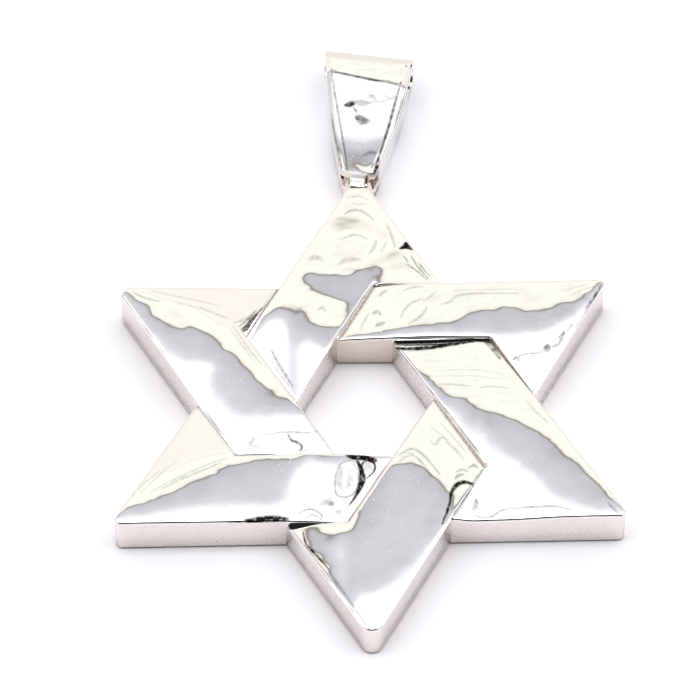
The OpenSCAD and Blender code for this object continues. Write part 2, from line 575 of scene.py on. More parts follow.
def rounded(ring: Array, closed: bool, cuts: int = 4) -> Array:
    """Draw a smooth curve through points.

    Args:
        ring: The points.
        closed: Whether the last one is joined to the first.
        cuts: Steps from one point to the next.

    Returns:
        The points of the curve.
    """
    if not closed:
        ring = np.vstack([ring[:1], ring, ring[-1:]])
    before, after, beyond = np.roll(ring, 1, 0), np.roll(ring, -1, 0), np.roll(ring, -2, 0)
    rows = []
    for t in np.arange(cuts) / cuts:
        rows.append(
            (
                2 * ring
                + (after - before) * t
                + (2 * before - 5 * ring + 4 * after - beyond) * t**2
                + (3 * ring - before - 3 * after + beyond) * t**3
            )
            / 2
        )
    curve = np.stack(rows, axis=1)
    if closed:
        return curve.reshape(-1, 2)
    return np.vstack([curve[1:-2].reshape(-1, 2), ring[-1:]])


@dataclass(frozen=True)
class Mark:
    """Something that a top shows, drawn on the photograph.

    Fields are the angle of the tent that it mirrors, or the share of darkening where it is a
    dark mark painted into the colour (stains, painted shade and painted reflections), its width
    in millimetres and its line as pixels, in order.
    """

    value: float
    width: float
    line: tuple[Pixel, ...]

    closed = False
    margin = 0.0

    def reach(self, level: float) -> tuple[Array, float]:
        """Return its plan points and how far it acts beyond them."""
        return VIEW.plan(self.line, level), self.width + self.margin


@dataclass(frozen=True)
class Pool(Mark):
    """A patch inside a closed line. Over its width it fades in.

    The last field is how far inside the line the middle of the fading lies.
    """

    inset: float = 0.0

    closed = True
    margin = 0.4

    def cover(self, points: Array, level: float) -> Array:
        """Return how far it covers plan points.

        Args:
            points: The plan points.
            level: Height of the surface, roughly.

        Returns:
            A share from 0 to 1 for each point.
        """
        ring = rounded(VIEW.plan(self.line, level), True)
        near = np.full(len(points), np.inf)
        for a, b in zip(ring, np.roll(ring, -1, axis=0)):
            near = np.minimum(near, from_segment(points, a, b)[0])
        depth = np.where(inside_ring(points, ring), near, -near)
        return ease(0.5 + (depth - self.inset) / self.width)


@dataclass(frozen=True)
class Stroke(Mark):
    """A line that gets thinner towards its ends. Its width is the greatest one.

    At an end, the share thin_end of that width is left. The cover is full within a quarter of
    the width there and ends at three quarters of it.
    """

    thin_end = 0.35
    solid = 1.5
    fade = 2.0

    def cover(self, points: Array, level: float) -> Array:
        """Return how far it covers plan points. See Pool.cover for the Args."""
        path = rounded(VIEW.plan(self.line, level), False)
        count = len(path) - 1
        near = np.full(len(points), np.inf)
        for k in range(count):
            distance, along = from_segment(points, path[k], path[k + 1])
            belly = np.sin(math.pi * (k + along) / count)
            width = self.width * (self.thin_end + (1 - self.thin_end) * belly)
            near = np.minimum(near, distance / width)
        return ease(self.solid - self.fade * near)


@dataclass(frozen=True)
class Relief:
    """The hand-finished relief of a top, worked out from what the photograph mirrors in it.

    Only the slope along Y decides which angle of the tent a spot mirrors. So the heights are
    summed along Y, from a line along which the top keeps its plain height.

    Fields are the ground, which is the tent's angle where nothing is drawn, the marks in
    the order in which they are laid, the line as pixels, the direction in degrees of the
    brush that left fine streaks, how strong those are, the seed and the stains and painted
    shade: dark marks painted into the colour where scratches, dents, steps and pockets are too
    small for the relief. They are partly dirt, partly painted shade in grooves and pockets and
    painted reflections of the tent's dark strips in dents.

    The constants after them hold for every top: cell is the grid's, even the millimetres over
    which it is evened out and detail_r how far the finer mesh reaches round a painted dark mark.
    Lengths and shifts are in millimetres, mottle and grain in degrees of the tent, and waves are
    the shortest, the longest and their number.
    """

    ground: float
    marks: tuple[Pool | Stroke, ...]
    line: tuple[Pixel, ...]
    brush: float = 0.0
    streaks: float = 0.9
    seed: int = 1
    stains_and_painted_shade: tuple[Pool | Stroke, ...] = ()

    cell = 0.05
    even = 0.16
    even_reach = 3
    detail_r = 0.22
    waver = 0.045
    waver_waves = (0.4, 2.2, 16)
    streak_waves = (0.22, 0.6, 36)
    streak_stretch = 0.2
    mottle = 0.25
    mottle_waves = (0.8, 3.0, 24)
    grain = 0.22
    grain_waves = (0.28, 0.6, 24)
    patches = 0.22
    patch_waves = (0.15, 0.7, 24)
    dark_mark_gain = 1.1
    faint_loss = 0.28
    cream_fade = 1.2
    grey_fade = 1.5
    grey_end = 58.0
    white_fade = 2.0

    @staticmethod
    def beside(points: Array, mark: Pool | Stroke, level: float) -> Array:
        """Tell which plan points are near enough to a mark to be covered by it."""
        ring, reach = mark.reach(level)
        low, high = ring.min(axis=0) - reach, ring.max(axis=0) + reach
        return ((points > low) & (points < high)).all(axis=1)

    def shown(self, points: Array, level: float) -> Array:
        """Work out what is to be seen in the top.

        Args:
            points: Plan points.
            level: Height of the surface, roughly.

        Returns:
            The angle of the tent that each point is to mirror.
        """
        shift = [noise(points, *self.waver_waves, self.seed + k) for k in (0, 1)]
        moved = points + self.waver * np.column_stack(shift)
        angle = np.full(len(points), self.ground)
        for mark in self.marks:
            near = self.beside(moved, mark, level)
            angle[near] += (mark.value - angle[near]) * mark.cover(moved[near], level)
        brushed = turned(points, -self.brush) * np.array([self.streak_stretch, 1.0])
        cream = np.clip((LINE - angle) / self.cream_fade, 0, 1)
        angle += self.streaks * cream * noise(brushed, *self.streak_waves, self.seed + 2)
        grey = np.clip((angle - LINE) / self.grey_fade, 0, 1)
        grey *= np.clip((self.grey_end - angle) / self.white_fade, 0, 1)
        angle += self.mottle * grey * noise(points, *self.mottle_waves, self.seed + 3)
        angle += self.grain * grey * noise(points, *self.grain_waves, self.seed + 5)
        return angle

    def near_dark_mark(self, points: Array, level: float) -> Array:
        """Tell which points need a finer mesh for a painted dark mark nearby. See shown for the Args."""
        near = np.zeros(len(points), bool)
        for mark in self.stains_and_painted_shade:
            spots = mark.reach(level)[0]
            ends = np.roll(spots, -1, axis=0) if mark.closed else spots[1:]
            for a, b in zip(spots, ends):
                near |= from_segment(points, a, b)[0] < self.detail_r
        return near

    def dirt_and_painted_shade(self, points: Array, level: float) -> Array:
        """Return the share of stains, painted shade and painted reflections at plan points. See shown for
        the Args.
        """
        share = np.zeros(len(points))
        for mark in self.stains_and_painted_shade:
            near = self.beside(points, mark, level)
            share[near] = np.maximum(share[near], mark.value * mark.cover(points[near], level))
        share *= 1 - self.faint_loss * (1 - share)
        patchy = self.patches * noise(points, *self.patch_waves, self.seed + 4)
        return np.clip(share * (self.dark_mark_gain + patchy), 0, 1)

    def knots(self, level: float) -> Array:
        """Return the line of plain height as plan points sorted by x."""
        knots = VIEW.plan(self.line, level)
        return knots[np.argsort(knots[:, 0])]

    def build(
        self, low: Array, high: Array, level: float, plain: Callable[[Array], Array]
    ) -> tuple[Array, Array, Array]:
        """Work out the heights over a rectangle of the plan.

        Args:
            low: Its lower left corner.
            high: Its upper right corner.
            level: Height of the surface, roughly.
            plain: Gives the height at points of the line of plain height.

        Returns:
            The grid's x, its y and the heights, with a row for each y.
        """
        x = np.arange(low[0], high[0] + self.cell, self.cell)
        y = np.arange(low[1], high[1] + self.cell, self.cell)
        across, along = np.meshgrid(x, y)
        wanted = self.shown(np.column_stack([across.ravel(), along.ravel()]), level)
        wanted = np.radians(wanted.reshape(along.shape))
        knots = self.knots(level)
        start = np.interp(x, knots[:, 0], knots[:, 1])
        level_at_start = plain(np.column_stack([x, start]))
        row = np.clip((start - y[0]) / self.cell, 0, len(y) - GRID_END)
        at, column = row.astype(int), np.arange(len(x))
        share = row - at
        eye = VIEW.place()
        sight = np.arctan2(eye[2] - level, along - eye[1])
        slope = np.tan((wanted - sight) / 2)
        rise = np.zeros_like(slope)
        rise[1:] = np.cumsum((slope[1:] + slope[:-1]) / 2 * self.cell, axis=0)
        rise += level_at_start - (rise[at, column] * (1 - share) + rise[at + 1, column] * share)
        # Evened out along X, so that no patch leaves a ridge above and below it.
        reach = round(self.even_reach * self.even / self.cell)
        share = np.exp(-((np.arange(-reach, reach + 1) * self.cell / self.even) ** 2) / 2)
        padded = np.pad(rise, ((0, 0), (reach, reach)), mode="edge")
        width = rise.shape[1]
        rise = sum(w * padded[:, k : k + width] for k, w in enumerate(share / share.sum()))
        return x, y, rise


def sample(grid: tuple[Array, Array, Array], points: Array) -> Array:
    """Read a grid of heights.

    Args:
        grid: Its x, its y and the heights, with a row for each y.
        points: Plan points on the grid.

    Returns:
        The height at each point.
    """
    x, y, rise = grid
    cell = x[1] - x[0]
    u = np.clip((points[:, 0] - x[0]) / cell, 0, len(x) - GRID_END)
    v = np.clip((points[:, 1] - y[0]) / cell, 0, len(y) - GRID_END)
    i, j = u.astype(int), v.astype(int)
    s, t = u - i, v - j
    low = rise[j, i] * (1 - s) + rise[j, i + 1] * s
    high = rise[j + 1, i] * (1 - s) + rise[j + 1, i + 1] * s
    return low * (1 - t) + high * t


# Numbers of the finishes on a mesh, in the order of Finish.
BUFFED, FILED, RAW = range(3)


class Edge(Enum):
    """What an edge of an arm's top does."""

    RIM = "rounds over into a wall"
    GROOVE = "sinks into a groove at the foot of the next arm's wall"
    FLANK = "meets the foot of the wall of the arm before it, without a groove"


def paling(outline: tuple[Pixel, ...]) -> tuple[Pool, Pool]:
    """Return the pools that mirror the tent's grey, dark at the outline and paler inside."""
    return Pool(GREY_RIM, RIM_FADE, outline), Pool(GREY_CORE, CORE_FADE, outline, CORE_INSET)


@dataclass(frozen=True)
class Arm:
    """One point of the star with the bar that leaves it and ends under the next arm.

    Lengths are shares as in the CAD source: reach of point_r, tip of tip_r, top of star_t,
    point_w and end_w of bar_w, end and flank of the sunken height and dive of dive_len. The
    dirt and the groove are those at the foot of the next arm's wall and along the flank, and
    step_finish gives the walls over the flank and over the end.
    """

    name: str
    direction: float
    reach: float
    tip: float
    top: float
    point_w: float
    end_w: float
    end: float
    dive: float
    flank: float
    relief: Relief
    dive_angle: float = 210.0
    dirt_end: float = 0.5
    dirt_flank: float = 0.3
    groove: float = 0.3
    step_finish: tuple[int, int] = (BUFFED, BUFFED)


# Each arm's stains mix dirt with painted shade, where steps, grooves and pockets lie in shadow, and with
# painted reflections of the tent's dark strips in dents and along edges.
ARMS = (
    Arm(
        name="A", direction=90, reach=1, tip=1, top=1, point_w=1.02, end_w=1.04, end=1.12, dive=1.0,
        flank=1.2,
        relief=Relief(
            ground=CREAM,
            marks=(
                *paling((
                    (303, 277), (311, 273), (330, 275), (347, 275), (361, 270), (373, 265), (378, 264),
                    (383, 272), (376, 288), (364, 306), (352, 322), (346, 312), (347, 303), (338, 300),
                    (325, 296), (313, 289), (305, 283),
                )),
                *paling((
                    (252, 332), (256, 327), (262, 318), (271, 309), (281, 302), (290, 300), (298, 304),
                    (304, 311), (308, 319), (316, 325), (330, 328), (341, 328), (347, 318), (362, 312),
                    (345, 350), (320, 380), (280, 385), (250, 345),
                )),
                Pool(WHITE, 1.8, (
                    (246, 338), (258, 324), (268, 317), (280, 315), (290, 322), (300, 338), (316, 348),
                    (336, 356), (330, 376), (298, 415), (258, 375), (238, 350),
                )),
                Pool(SHADE + 0.2, 0.6, (
                    (328, 227), (340, 217), (352, 216), (368, 221), (380, 227), (393, 234), (386, 237),
                    (368, 232), (350, 230), (338, 231),
                )),
                Pool(SHADE + 0.55, 0.5, (
                    (370, 262), (384, 254), (400, 248), (406, 252), (392, 259), (378, 265),
                )),
                Pool(SHADE + 0.2, 0.4, (
                    (384, 266), (398, 260), (412, 262), (424, 270), (408, 268), (394, 270),
                )),
            ),
            line=((240, 345), (262, 328), (300, 292), (345, 240), (358, 232), (390, 255), (446, 272)),
            brush=8, streaks=0.45, seed=11,
            stains_and_painted_shade=(
                Stroke(0.35, 0.2, ((345, 214), (351, 210), (359, 210), (366, 213), (373, 219))),
                Stroke(0.3, 0.2, ((341, 240), (349, 236), (357, 235), (367, 239))),
                Stroke(0.3, 0.22, ((369, 254), (374, 247), (376, 240))),
                Stroke(0.25, 0.16, ((381, 251), (384, 246), (386, 240))),
                Stroke(0.3, 0.18, ((386, 222), (390, 230), (393, 238), (395, 246))),
                Stroke(0.3, 0.4, ((309, 260), (315, 257), (323, 260))),
                Stroke(0.25, 0.4, ((339, 264), (348, 260), (360, 260))),
                Stroke(0.2, 0.14, ((352, 197), (360, 196), (368, 199))),
                Stroke(0.2, 0.14, ((352, 203), (359, 204), (366, 203))),
                Stroke(0.3, 0.2, ((318, 311), (322, 308), (325, 312))),
                Stroke(0.55, 0.13, ((411, 253), (415, 260), (421, 268), (429, 276))),
                Stroke(0.45, 0.12, ((403, 254), (406, 257), (408, 261))),
                Stroke(0.5, 0.12, ((406, 262), (413, 266), (420, 271), (427, 277))),
                Stroke(0.5, 0.12, ((418, 259), (423, 266), (430, 273))),
                # Painted reflection: the dark of the tent in a small dent, drawn as a black patch.
                Pool(1.0, 0.09, (
                    (399, 247.5), (402, 243.5), (406, 239.5), (410, 243.5), (413, 247.5), (406, 247),
                )),
                Stroke(0.45, 0.22, ((271, 345), (277, 357), (285, 370), (293, 383))),
                Stroke(0.3, 0.15, ((269, 352), (275, 362), (283, 373), (290, 383))),
            ),
        ),
        step_finish=(BUFFED, RAW),
    ),
    Arm(
        name="F", direction=150, reach=1, tip=0.85, top=1.06, point_w=1.02, end_w=1.04, end=1.3, dive=0.9,
        flank=1.22,
        relief=Relief(
            ground=CREAM,
            marks=(
                Pool(FLANK, 1.4, (
                    (112, 286), (160, 299), (200, 313), (240, 333), (262, 318), (290, 284), (260, 270),
                    (110, 270),
                )),
                *paling((
                    (124, 290), (133, 300), (145, 305), (151, 314), (160, 319), (169, 326), (182, 328),
                    (191, 326), (205, 331), (215, 337), (223, 347), (233, 353), (243, 362), (252, 372),
                    (262, 383), (274, 391), (287, 397), (303, 404), (335, 430), (335, 470), (230, 460),
                    (150, 380), (100, 300),
                )),
                Pool(WHITE, 2.2, (
                    (112, 294), (132, 314), (150, 334), (168, 353), (188, 362), (208, 366), (208, 376),
                    (216, 396), (236, 416), (262, 418), (290, 414), (312, 418), (345, 450), (345, 470),
                    (230, 460), (150, 380),
                )),
            ),
            line=((112, 285), (160, 318), (205, 345), (245, 385), (300, 430), (345, 455)),
            brush=-28, streaks=0.4, seed=21,
            stains_and_painted_shade=(
                Stroke(0.35, 0.2, ((134, 293), (146, 298), (160, 301))),
                Stroke(0.2, 0.14, ((150, 290), (180, 296), (222, 305))),
                Stroke(0.2, 0.14, ((172, 300), (200, 308), (226, 316))),
                Stroke(0.25, 0.16, ((200, 306), (216, 313), (229, 318))),
                Stroke(0.25, 0.16, ((232, 324), (241, 337), (251, 351), (262, 364))),
                Stroke(0.2, 0.12, ((232, 331), (243, 346), (254, 360))),
                Stroke(0.45, 0.13, ((259, 435), (274, 432), (290, 430), (306, 431), (318, 429))),
                Stroke(0.7, 0.2, ((288, 432), (291, 438), (297, 440), (302, 444), (299, 449))),
                Stroke(0.55, 0.18, ((292, 449), (299, 450), (308, 448))),
                Stroke(0.35, 0.2, ((250, 436), (254, 438), (250, 443), (259, 446))),
                # Painted shade with some dirt in the wedge beside A's wall.
                Pool(0.8, 0.12, ((241, 329), (246, 322), (254, 313), (263, 304), (258, 315), (249, 331))),
                Stroke(0.3, 0.16, ((233, 322), (245, 317), (256, 308))),
                Stroke(0.6, 0.14, ((238, 326), (248, 317), (258, 306))),
            ),
        ),
    ),
    Arm(
        name="E", direction=210, reach=1.01, tip=0.56, top=1, point_w=0.99, end_w=1, end=1.12, dive=0.8,
        flank=1.18,
        relief=Relief(
            ground=CREAM,
            marks=(
                Pool(FLANK + 0.4, 1.4, (
                    (104, 518), (150, 481), (200, 459), (235, 449), (225, 420), (196, 392), (120, 450),
                )),
                *paling((
                    (114, 516), (135, 505), (150, 500), (165, 495), (180, 488), (195, 481), (210, 475),
                    (222, 468), (234, 465), (245, 462), (258, 459), (290, 459), (330, 458), (410, 452),
                    (400, 540), (110, 540),
                )),
                Pool(WHITE, 2.2, (
                    (100, 523), (140, 517), (170, 513), (200, 509), (230, 508), (262, 507), (283, 502),
                    (292, 488), (297, 474), (308, 463), (330, 460), (362, 458), (410, 450), (400, 545),
                    (100, 545),
                )),
            ),
            line=((104, 518), (200, 492), (260, 480), (410, 478)),
            brush=28, streaks=0.4, seed=31,
            stains_and_painted_shade=(
                Stroke(0.3, 0.18, ((163, 488), (180, 479), (200, 471), (221, 462))),
                Stroke(0.22, 0.14, ((150, 492), (172, 480), (205, 465), (228, 457))),
                Stroke(0.18, 0.12, ((140, 493), (156, 477), (178, 459))),
                Stroke(0.18, 0.12, ((132, 495), (150, 477), (168, 464))),
                Stroke(0.5, 0.14, (
                    (351, 458), (342, 461), (337, 469), (335, 480), (336, 491), (342, 494), (351, 492),
                    (357, 484), (358, 470), (353, 460),
                )),
                Stroke(0.35, 0.5, ((341, 466), (339, 476), (341, 486))),
                Stroke(0.3, 0.4, ((349, 468), (350, 477), (347, 486))),
                Pool(1.0, 0.1, (
                    (345, 453), (356, 451), (368, 452), (377, 455), (374, 459), (362, 457), (352, 457),
                )),
                Pool(1.0, 0.1, (
                    (356, 457), (361, 461), (365, 470), (366, 476), (362, 485), (356, 494), (348, 503),
                    (354, 492), (358, 480), (359, 469),
                )),
                Pool(0.3, 0.1, ((363, 461), (368, 458), (373, 462), (371, 468), (365, 468))),
                Stroke(1.0, 0.13, (
                    (364, 467), (362, 462), (365, 458), (371, 457), (375, 461), (374, 467), (370, 471),
                    (366, 475),
                )),
                Pool(0.4, 0.1, ((318, 504), (326, 497), (333, 495), (331, 500), (326, 503))),
                Pool(0.55, 0.12, ((328, 502), (331, 498), (335, 501), (331, 504))),
                Pool(0.45, 0.12, ((335, 509), (339, 506), (342, 508), (339, 511))),
                Stroke(0.5, 0.14, ((299, 512), (307, 508), (316, 509), (322, 514), (318, 520))),
                Stroke(0.4, 0.12, ((303, 518), (312, 513), (320, 516))),
                # Painted reflection: a black line along the lower edge.
                Stroke(1.0, 0.42, ((244, 520.5), (260, 519), (274, 518), (288, 518))),
                Stroke(0.6, 0.12, ((225, 521), (250, 520.5), (286, 520))),
            ),
        ),
    ),
    Arm(
        name="D", direction=270, reach=0.99, tip=1, top=0.97, point_w=1.07, end_w=1.05, end=1.2, dive=0.9,
        flank=1.08,
        relief=Relief(
            ground=CREAM,
            marks=(
                *paling((
                    (385, 470), (393, 465), (408, 463), (420, 466), (430, 472), (440, 482), (450, 491),
                    (457, 495), (453, 510), (446, 530), (470, 560), (400, 650), (375, 650), (357, 606),
                    (350, 593), (341, 579), (331, 567), (322, 556), (309, 543), (303, 530), (303, 524),
                    (312, 522), (320, 524), (323, 530), (345, 531), (353, 527), (357, 516), (358, 503),
                    (368, 491), (376, 481), (380, 474),
                )),
                Pool(WHITE, 2.0, (
                    (343, 612), (356, 598), (372, 594), (388, 590), (402, 580), (416, 566), (431, 549),
                    (445, 529), (455, 510), (478, 520), (470, 600), (372, 660),
                )),
                Pool(PALE + 1.6, 1.4, (
                    (333, 548), (341, 540), (347, 556), (352, 580), (358, 600), (344, 592),
                )),
                Pool(CREAM, 0.3, (
                    (456, 495), (462, 488), (472, 484), (479, 488), (469, 506), (459, 524), (450, 532),
                    (446, 530), (450, 512),
                )),
            ),
            line=((286, 528), (320, 545), (350, 560), (385, 545), (420, 490), (450, 450), (492, 440)),
            brush=-52, streaks=0.45, seed=41,
            stains_and_painted_shade=(
                Stroke(0.35, 0.2, ((402, 452), (410, 448), (418, 450), (428, 459), (440, 474))),
                Stroke(0.3, 0.16, ((398, 454), (408, 452), (420, 460), (432, 476))),
                Stroke(0.3, 0.18, ((430, 439), (436, 443), (440, 436), (447, 437))),
                Stroke(0.2, 0.14, ((430, 424), (443, 434), (456, 448))),
                Stroke(0.2, 0.14, ((440, 420), (453, 434), (466, 450))),
                Stroke(0.3, 0.16, ((446, 440), (456, 448), (464, 458))),
                Stroke(0.45, 0.22, ((455, 478), (459, 474), (464, 473))),
                Stroke(0.45, 0.2, ((469, 466), (474, 463), (478, 466))),
                Stroke(0.35, 0.18, ((456, 471), (462, 468), (468, 470))),
                Stroke(0.25, 0.16, ((398, 462), (406, 456), (415, 455))),
                # Painted shade: the black arc of the pocket where D meets C's wall.
                Stroke(1.0, 0.3, (
                    (450, 500), (452, 491), (457, 484), (463, 481), (470, 482), (475, 484),
                )),
                Stroke(0.9, 0.18, ((451, 492), (450, 502), (447, 512), (442, 524))),
                # Painted reflection of the tent's dark line along the grey's border.
                Stroke(0.9, 0.18, ((303, 528), (306, 540), (313, 549), (321, 558), (329, 568))),
                Stroke(0.35, 0.14, ((330, 570), (345, 593), (358, 613), (372, 632))),
                Stroke(0.8, 0.2, ((478, 478), (483, 470), (489, 461))),
                Stroke(0.5, 0.14, ((458, 512), (464, 500), (472, 486))),
            ),
        ),
        dirt_end=0.15, groove=0.5,
    ),
    Arm(
        name="C", direction=330, reach=1.02, tip=0.5, top=1, point_w=1.07, end_w=1.04, end=1.14, dive=0.8,
        flank=1.1,
        relief=Relief(
            ground=CREAM,
            marks=(
                *paling((
                    (425, 378), (440, 392), (450, 397), (465, 397), (471, 403), (480, 409), (498, 413),
                    (512, 418), (525, 424), (538, 430), (548, 437), (560, 448), (575, 461), (590, 475),
                    (605, 492), (625, 512), (620, 540), (440, 540), (480, 470), (430, 400),
                )),
                Pool(WHITE, 2.3, (
                    (418, 380), (440, 400), (460, 416), (478, 436), (496, 452), (514, 464), (534, 480),
                    (552, 498), (576, 507), (600, 511), (640, 514), (630, 540), (440, 545), (470, 470),
                )),
            ),
            line=((640, 520), (560, 470), (512, 432), (472, 378), (430, 352), (385, 345)),
            brush=-4, streaks=0.4, seed=51,
            stains_and_painted_shade=(
                Stroke(0.5, 0.13, ((474, 512), (483, 515), (492, 514), (500, 509), (512, 506))),
                Stroke(0.45, 0.16, ((508, 507), (525, 506), (541, 506), (556, 506), (572, 510))),
                Stroke(0.5, 0.3, ((473, 508), (476, 503), (476, 497))),
                Stroke(0.3, 0.16, ((436, 382), (452, 383), (472, 386))),
                Stroke(0.25, 0.14, ((478, 388), (490, 386), (508, 387))),
                Stroke(0.16, 0.12, ((436, 374), (470, 375), (502, 378))),
                Stroke(0.16, 0.12, ((430, 368), (470, 369), (505, 373))),
                Stroke(0.2, 0.18, ((527, 400), (536, 411), (548, 422))),
                Stroke(0.4, 0.2, ((608, 503), (614, 509), (619, 514))),
                # Painted shade: the black band along the foot of B's wall over C.
                Stroke(1.0, 0.32, ((390, 343), (408, 345), (430, 344), (452, 342), (474, 340))),
                Stroke(0.6, 0.4, ((474, 339), (484, 338), (492, 345), (500, 357))),
            ),
        ),
        groove=1.2, step_finish=(RAW, RAW),
    ),
    Arm(
        name="B", direction=30, reach=1, tip=0.48, top=1.04, point_w=0.88, end_w=0.84, end=1.28, dive=1,
        flank=1.12,
        relief=Relief(
            ground=CREAM,
            marks=(
                *paling((
                    (330, 339), (368, 333), (400, 327), (440, 323), (455, 321), (464, 317), (470, 312),
                    (479, 310), (490, 310), (505, 307), (520, 308), (530, 311), (545, 309), (558, 304),
                    (570, 301), (582, 299), (590, 293), (612, 276), (615, 300), (540, 410), (480, 350),
                    (330, 352),
                )),
                Pool(WHITE, 1.3, (
                    (330, 342), (370, 337), (400, 334), (440, 333), (470, 333), (500, 336), (520, 335),
                    (540, 332), (556, 326), (572, 317), (590, 300), (612, 281), (625, 300), (540, 415),
                    (480, 360), (330, 360),
                )),
            ),
            line=((620, 275), (540, 314), (480, 322), (400, 312), (335, 320)),
            brush=48, streaks=0.45, seed=61,
            stains_and_painted_shade=(
                Stroke(0.3, 0.22, ((441, 304), (450, 301), (458, 295), (476, 293), (518, 293))),
                Stroke(0.18, 0.12, ((452, 290), (485, 289), (524, 289))),
                Stroke(0.3, 0.16, ((404, 289), (413, 286), (424, 286))),
                Stroke(0.3, 0.18, ((400, 317), (406, 307), (414, 301), (424, 298))),
                Stroke(0.25, 0.14, ((423, 301), (430, 296), (437, 290))),
                Stroke(0.3, 0.22, ((408, 323), (418, 318), (424, 312), (427, 306))),
                Stroke(0.25, 0.16, ((360, 328), (364, 319), (369, 310))),
                Stroke(0.4, 0.3, ((376, 324), (380, 322), (385, 321))),
                Stroke(0.4, 0.26, ((373, 312), (377, 309), (381, 313))),
                Stroke(0.35, 0.22, ((379, 294), (383, 290), (388, 288))),
                Stroke(0.2, 0.14, ((569, 296), (581, 290), (594, 286))),
                Stroke(0.16, 0.12, ((560, 291), (575, 287), (590, 284))),
                Stroke(0.4, 0.14, ((514, 358), (524, 353), (536, 352), (546, 349))),
                Stroke(0.5, 0.22, ((513, 359), (517, 356), (520, 360))),
                Pool(0.6, 0.14, ((543, 347), (547, 343), (551, 345), (549, 350), (545, 350))),
                Stroke(0.5, 0.2, ((551, 346), (558, 343), (562, 337), (564, 330))),
                Stroke(0.6, 0.22, ((559, 337), (562, 334), (565, 332))),
                Stroke(0.7, 0.16, ((602, 284), (594, 296), (584, 310))),
                Stroke(0.4, 0.14, ((573, 323), (570, 327), (567, 331))),
            ),
        ),
        dive_angle=240.0, dirt_end=0.12, groove=0.5,
    ),
)


# Star


@dataclass
class MeshParts:
    """Vertices, faces and marks that grow into one mesh."""

    points: list[Array] = field(default_factory=list)
    dirt_and_shade: list[float] = field(default_factory=list)
    faces: list[tuple[int, ...]] = field(default_factory=list)
    finish: list[int] = field(default_factory=list)

    weld = 2e-7
    speck = 1e-8
    foot_segments = 2
    foot_slope = 0.5
    # The band of the rounded foot, as shares of its radius, that is darkened as painted contact shadow,
    # and how dark it gets.
    foot_shade_band = (0.01, 0.6)
    foot_shade = 0.85

    def add_points(self, rows: Array, dirt_and_shade: Array | float = 0.0) -> list[int]:
        """Add points.

        Args:
            rows: Their places.
            dirt_and_shade: Their share of darkening, for dirt and for painted shade and reflections, one
                for all or one for each.

        Returns:
            Their numbers.
        """
        start = len(self.points)
        self.points.extend(rows)
        self.dirt_and_shade.extend(np.broadcast_to(dirt_and_shade, (len(rows),)).tolist())
        return list(range(start, start + len(rows)))

    def add_face(self, corners: Sequence[int], finish: int) -> None:
        """Add one face, unless its corners fall together.

        Args:
            corners: Numbers of its points, in order.
            finish: Number of its finish.
        """
        apart = tuple(dict.fromkeys(corners))
        if len(apart) > 2:
            self.faces.append(apart)
            self.finish.append(finish)

    def build(self, name: str, finishes: Sequence[Finish], foot_r: float) -> bpy.types.Object:
        """Make the object.

        Args:
            name: Name of the object.
            finishes: The finish for each number that the faces use.
            foot_r: How far the edges on the table are rounded, in millimetres.

        Returns:
            A closed mesh object at the origin, in metres.
        """
        bm = bmesh.new()
        layer = bm.verts.layers.float.new("dirt_and_painted_shade")
        for point, dirt_and_shade in zip(self.points, self.dirt_and_shade):
            vert = bm.verts.new(np.asarray(point, float) * METRE)
            vert[layer] = dirt_and_shade
        bm.verts.ensure_lookup_table()
        for corners, finish in zip(self.faces, self.finish):
            face = bm.faces.new([bm.verts[c] for c in corners])
            face.material_index = finish
            face.smooth = True
        bmesh.ops.remove_doubles(bm, verts=bm.verts[:], dist=self.weld)
        bmesh.ops.dissolve_degenerate(bm, dist=self.speck, edges=bm.edges[:])
        bmesh.ops.recalc_face_normals(bm, faces=bm.faces[:])
        rims = [
            edge
            for edge in bm.edges
            if all(vert.co.z < self.weld / 2 for vert in edge.verts)
            and len(edge.link_faces) == 2
            and min(abs(face.normal.z) for face in edge.link_faces) < self.foot_slope
        ]
        bmesh.ops.bevel(
            bm,
            geom=rims,
            offset=foot_r * METRE,
            segments=self.foot_segments,
            profile=0.5,
            affect="EDGES",
            clamp_overlap=False,
            material=-1,
        )
        # Painted shade: where the wall meets the table, its rounded foot is darkened to stand in for the
        # contact shadow.
        low, high = self.foot_shade_band
        for vert in bm.verts:
            if low < vert.co.z / METRE / foot_r < high:
                vert[layer] = self.foot_shade
        big = [face for face in bm.faces if len(face.verts) > 4]
        bmesh.ops.triangulate(bm, faces=big)
        bmesh.ops.recalc_face_normals(bm, faces=bm.faces[:])
        open_edges = sum(1 for edge in bm.edges if not edge.is_manifold)
        if open_edges:
            LOG.warning("%s has %d open edges", name, open_edges)
        mesh = bpy.data.meshes.new(name)
        bm.to_mesh(mesh)
        bm.free()
        mesh.set_sharp_from_angle(angle=math.radians(SHARP_ANGLE))
        for finish in finishes:
            mesh.materials.append(bpy.data.materials[finish.value.name])
        thing = bpy.data.objects.new(name, mesh)
        bpy.context.scene.collection.objects.link(thing)
        return thing


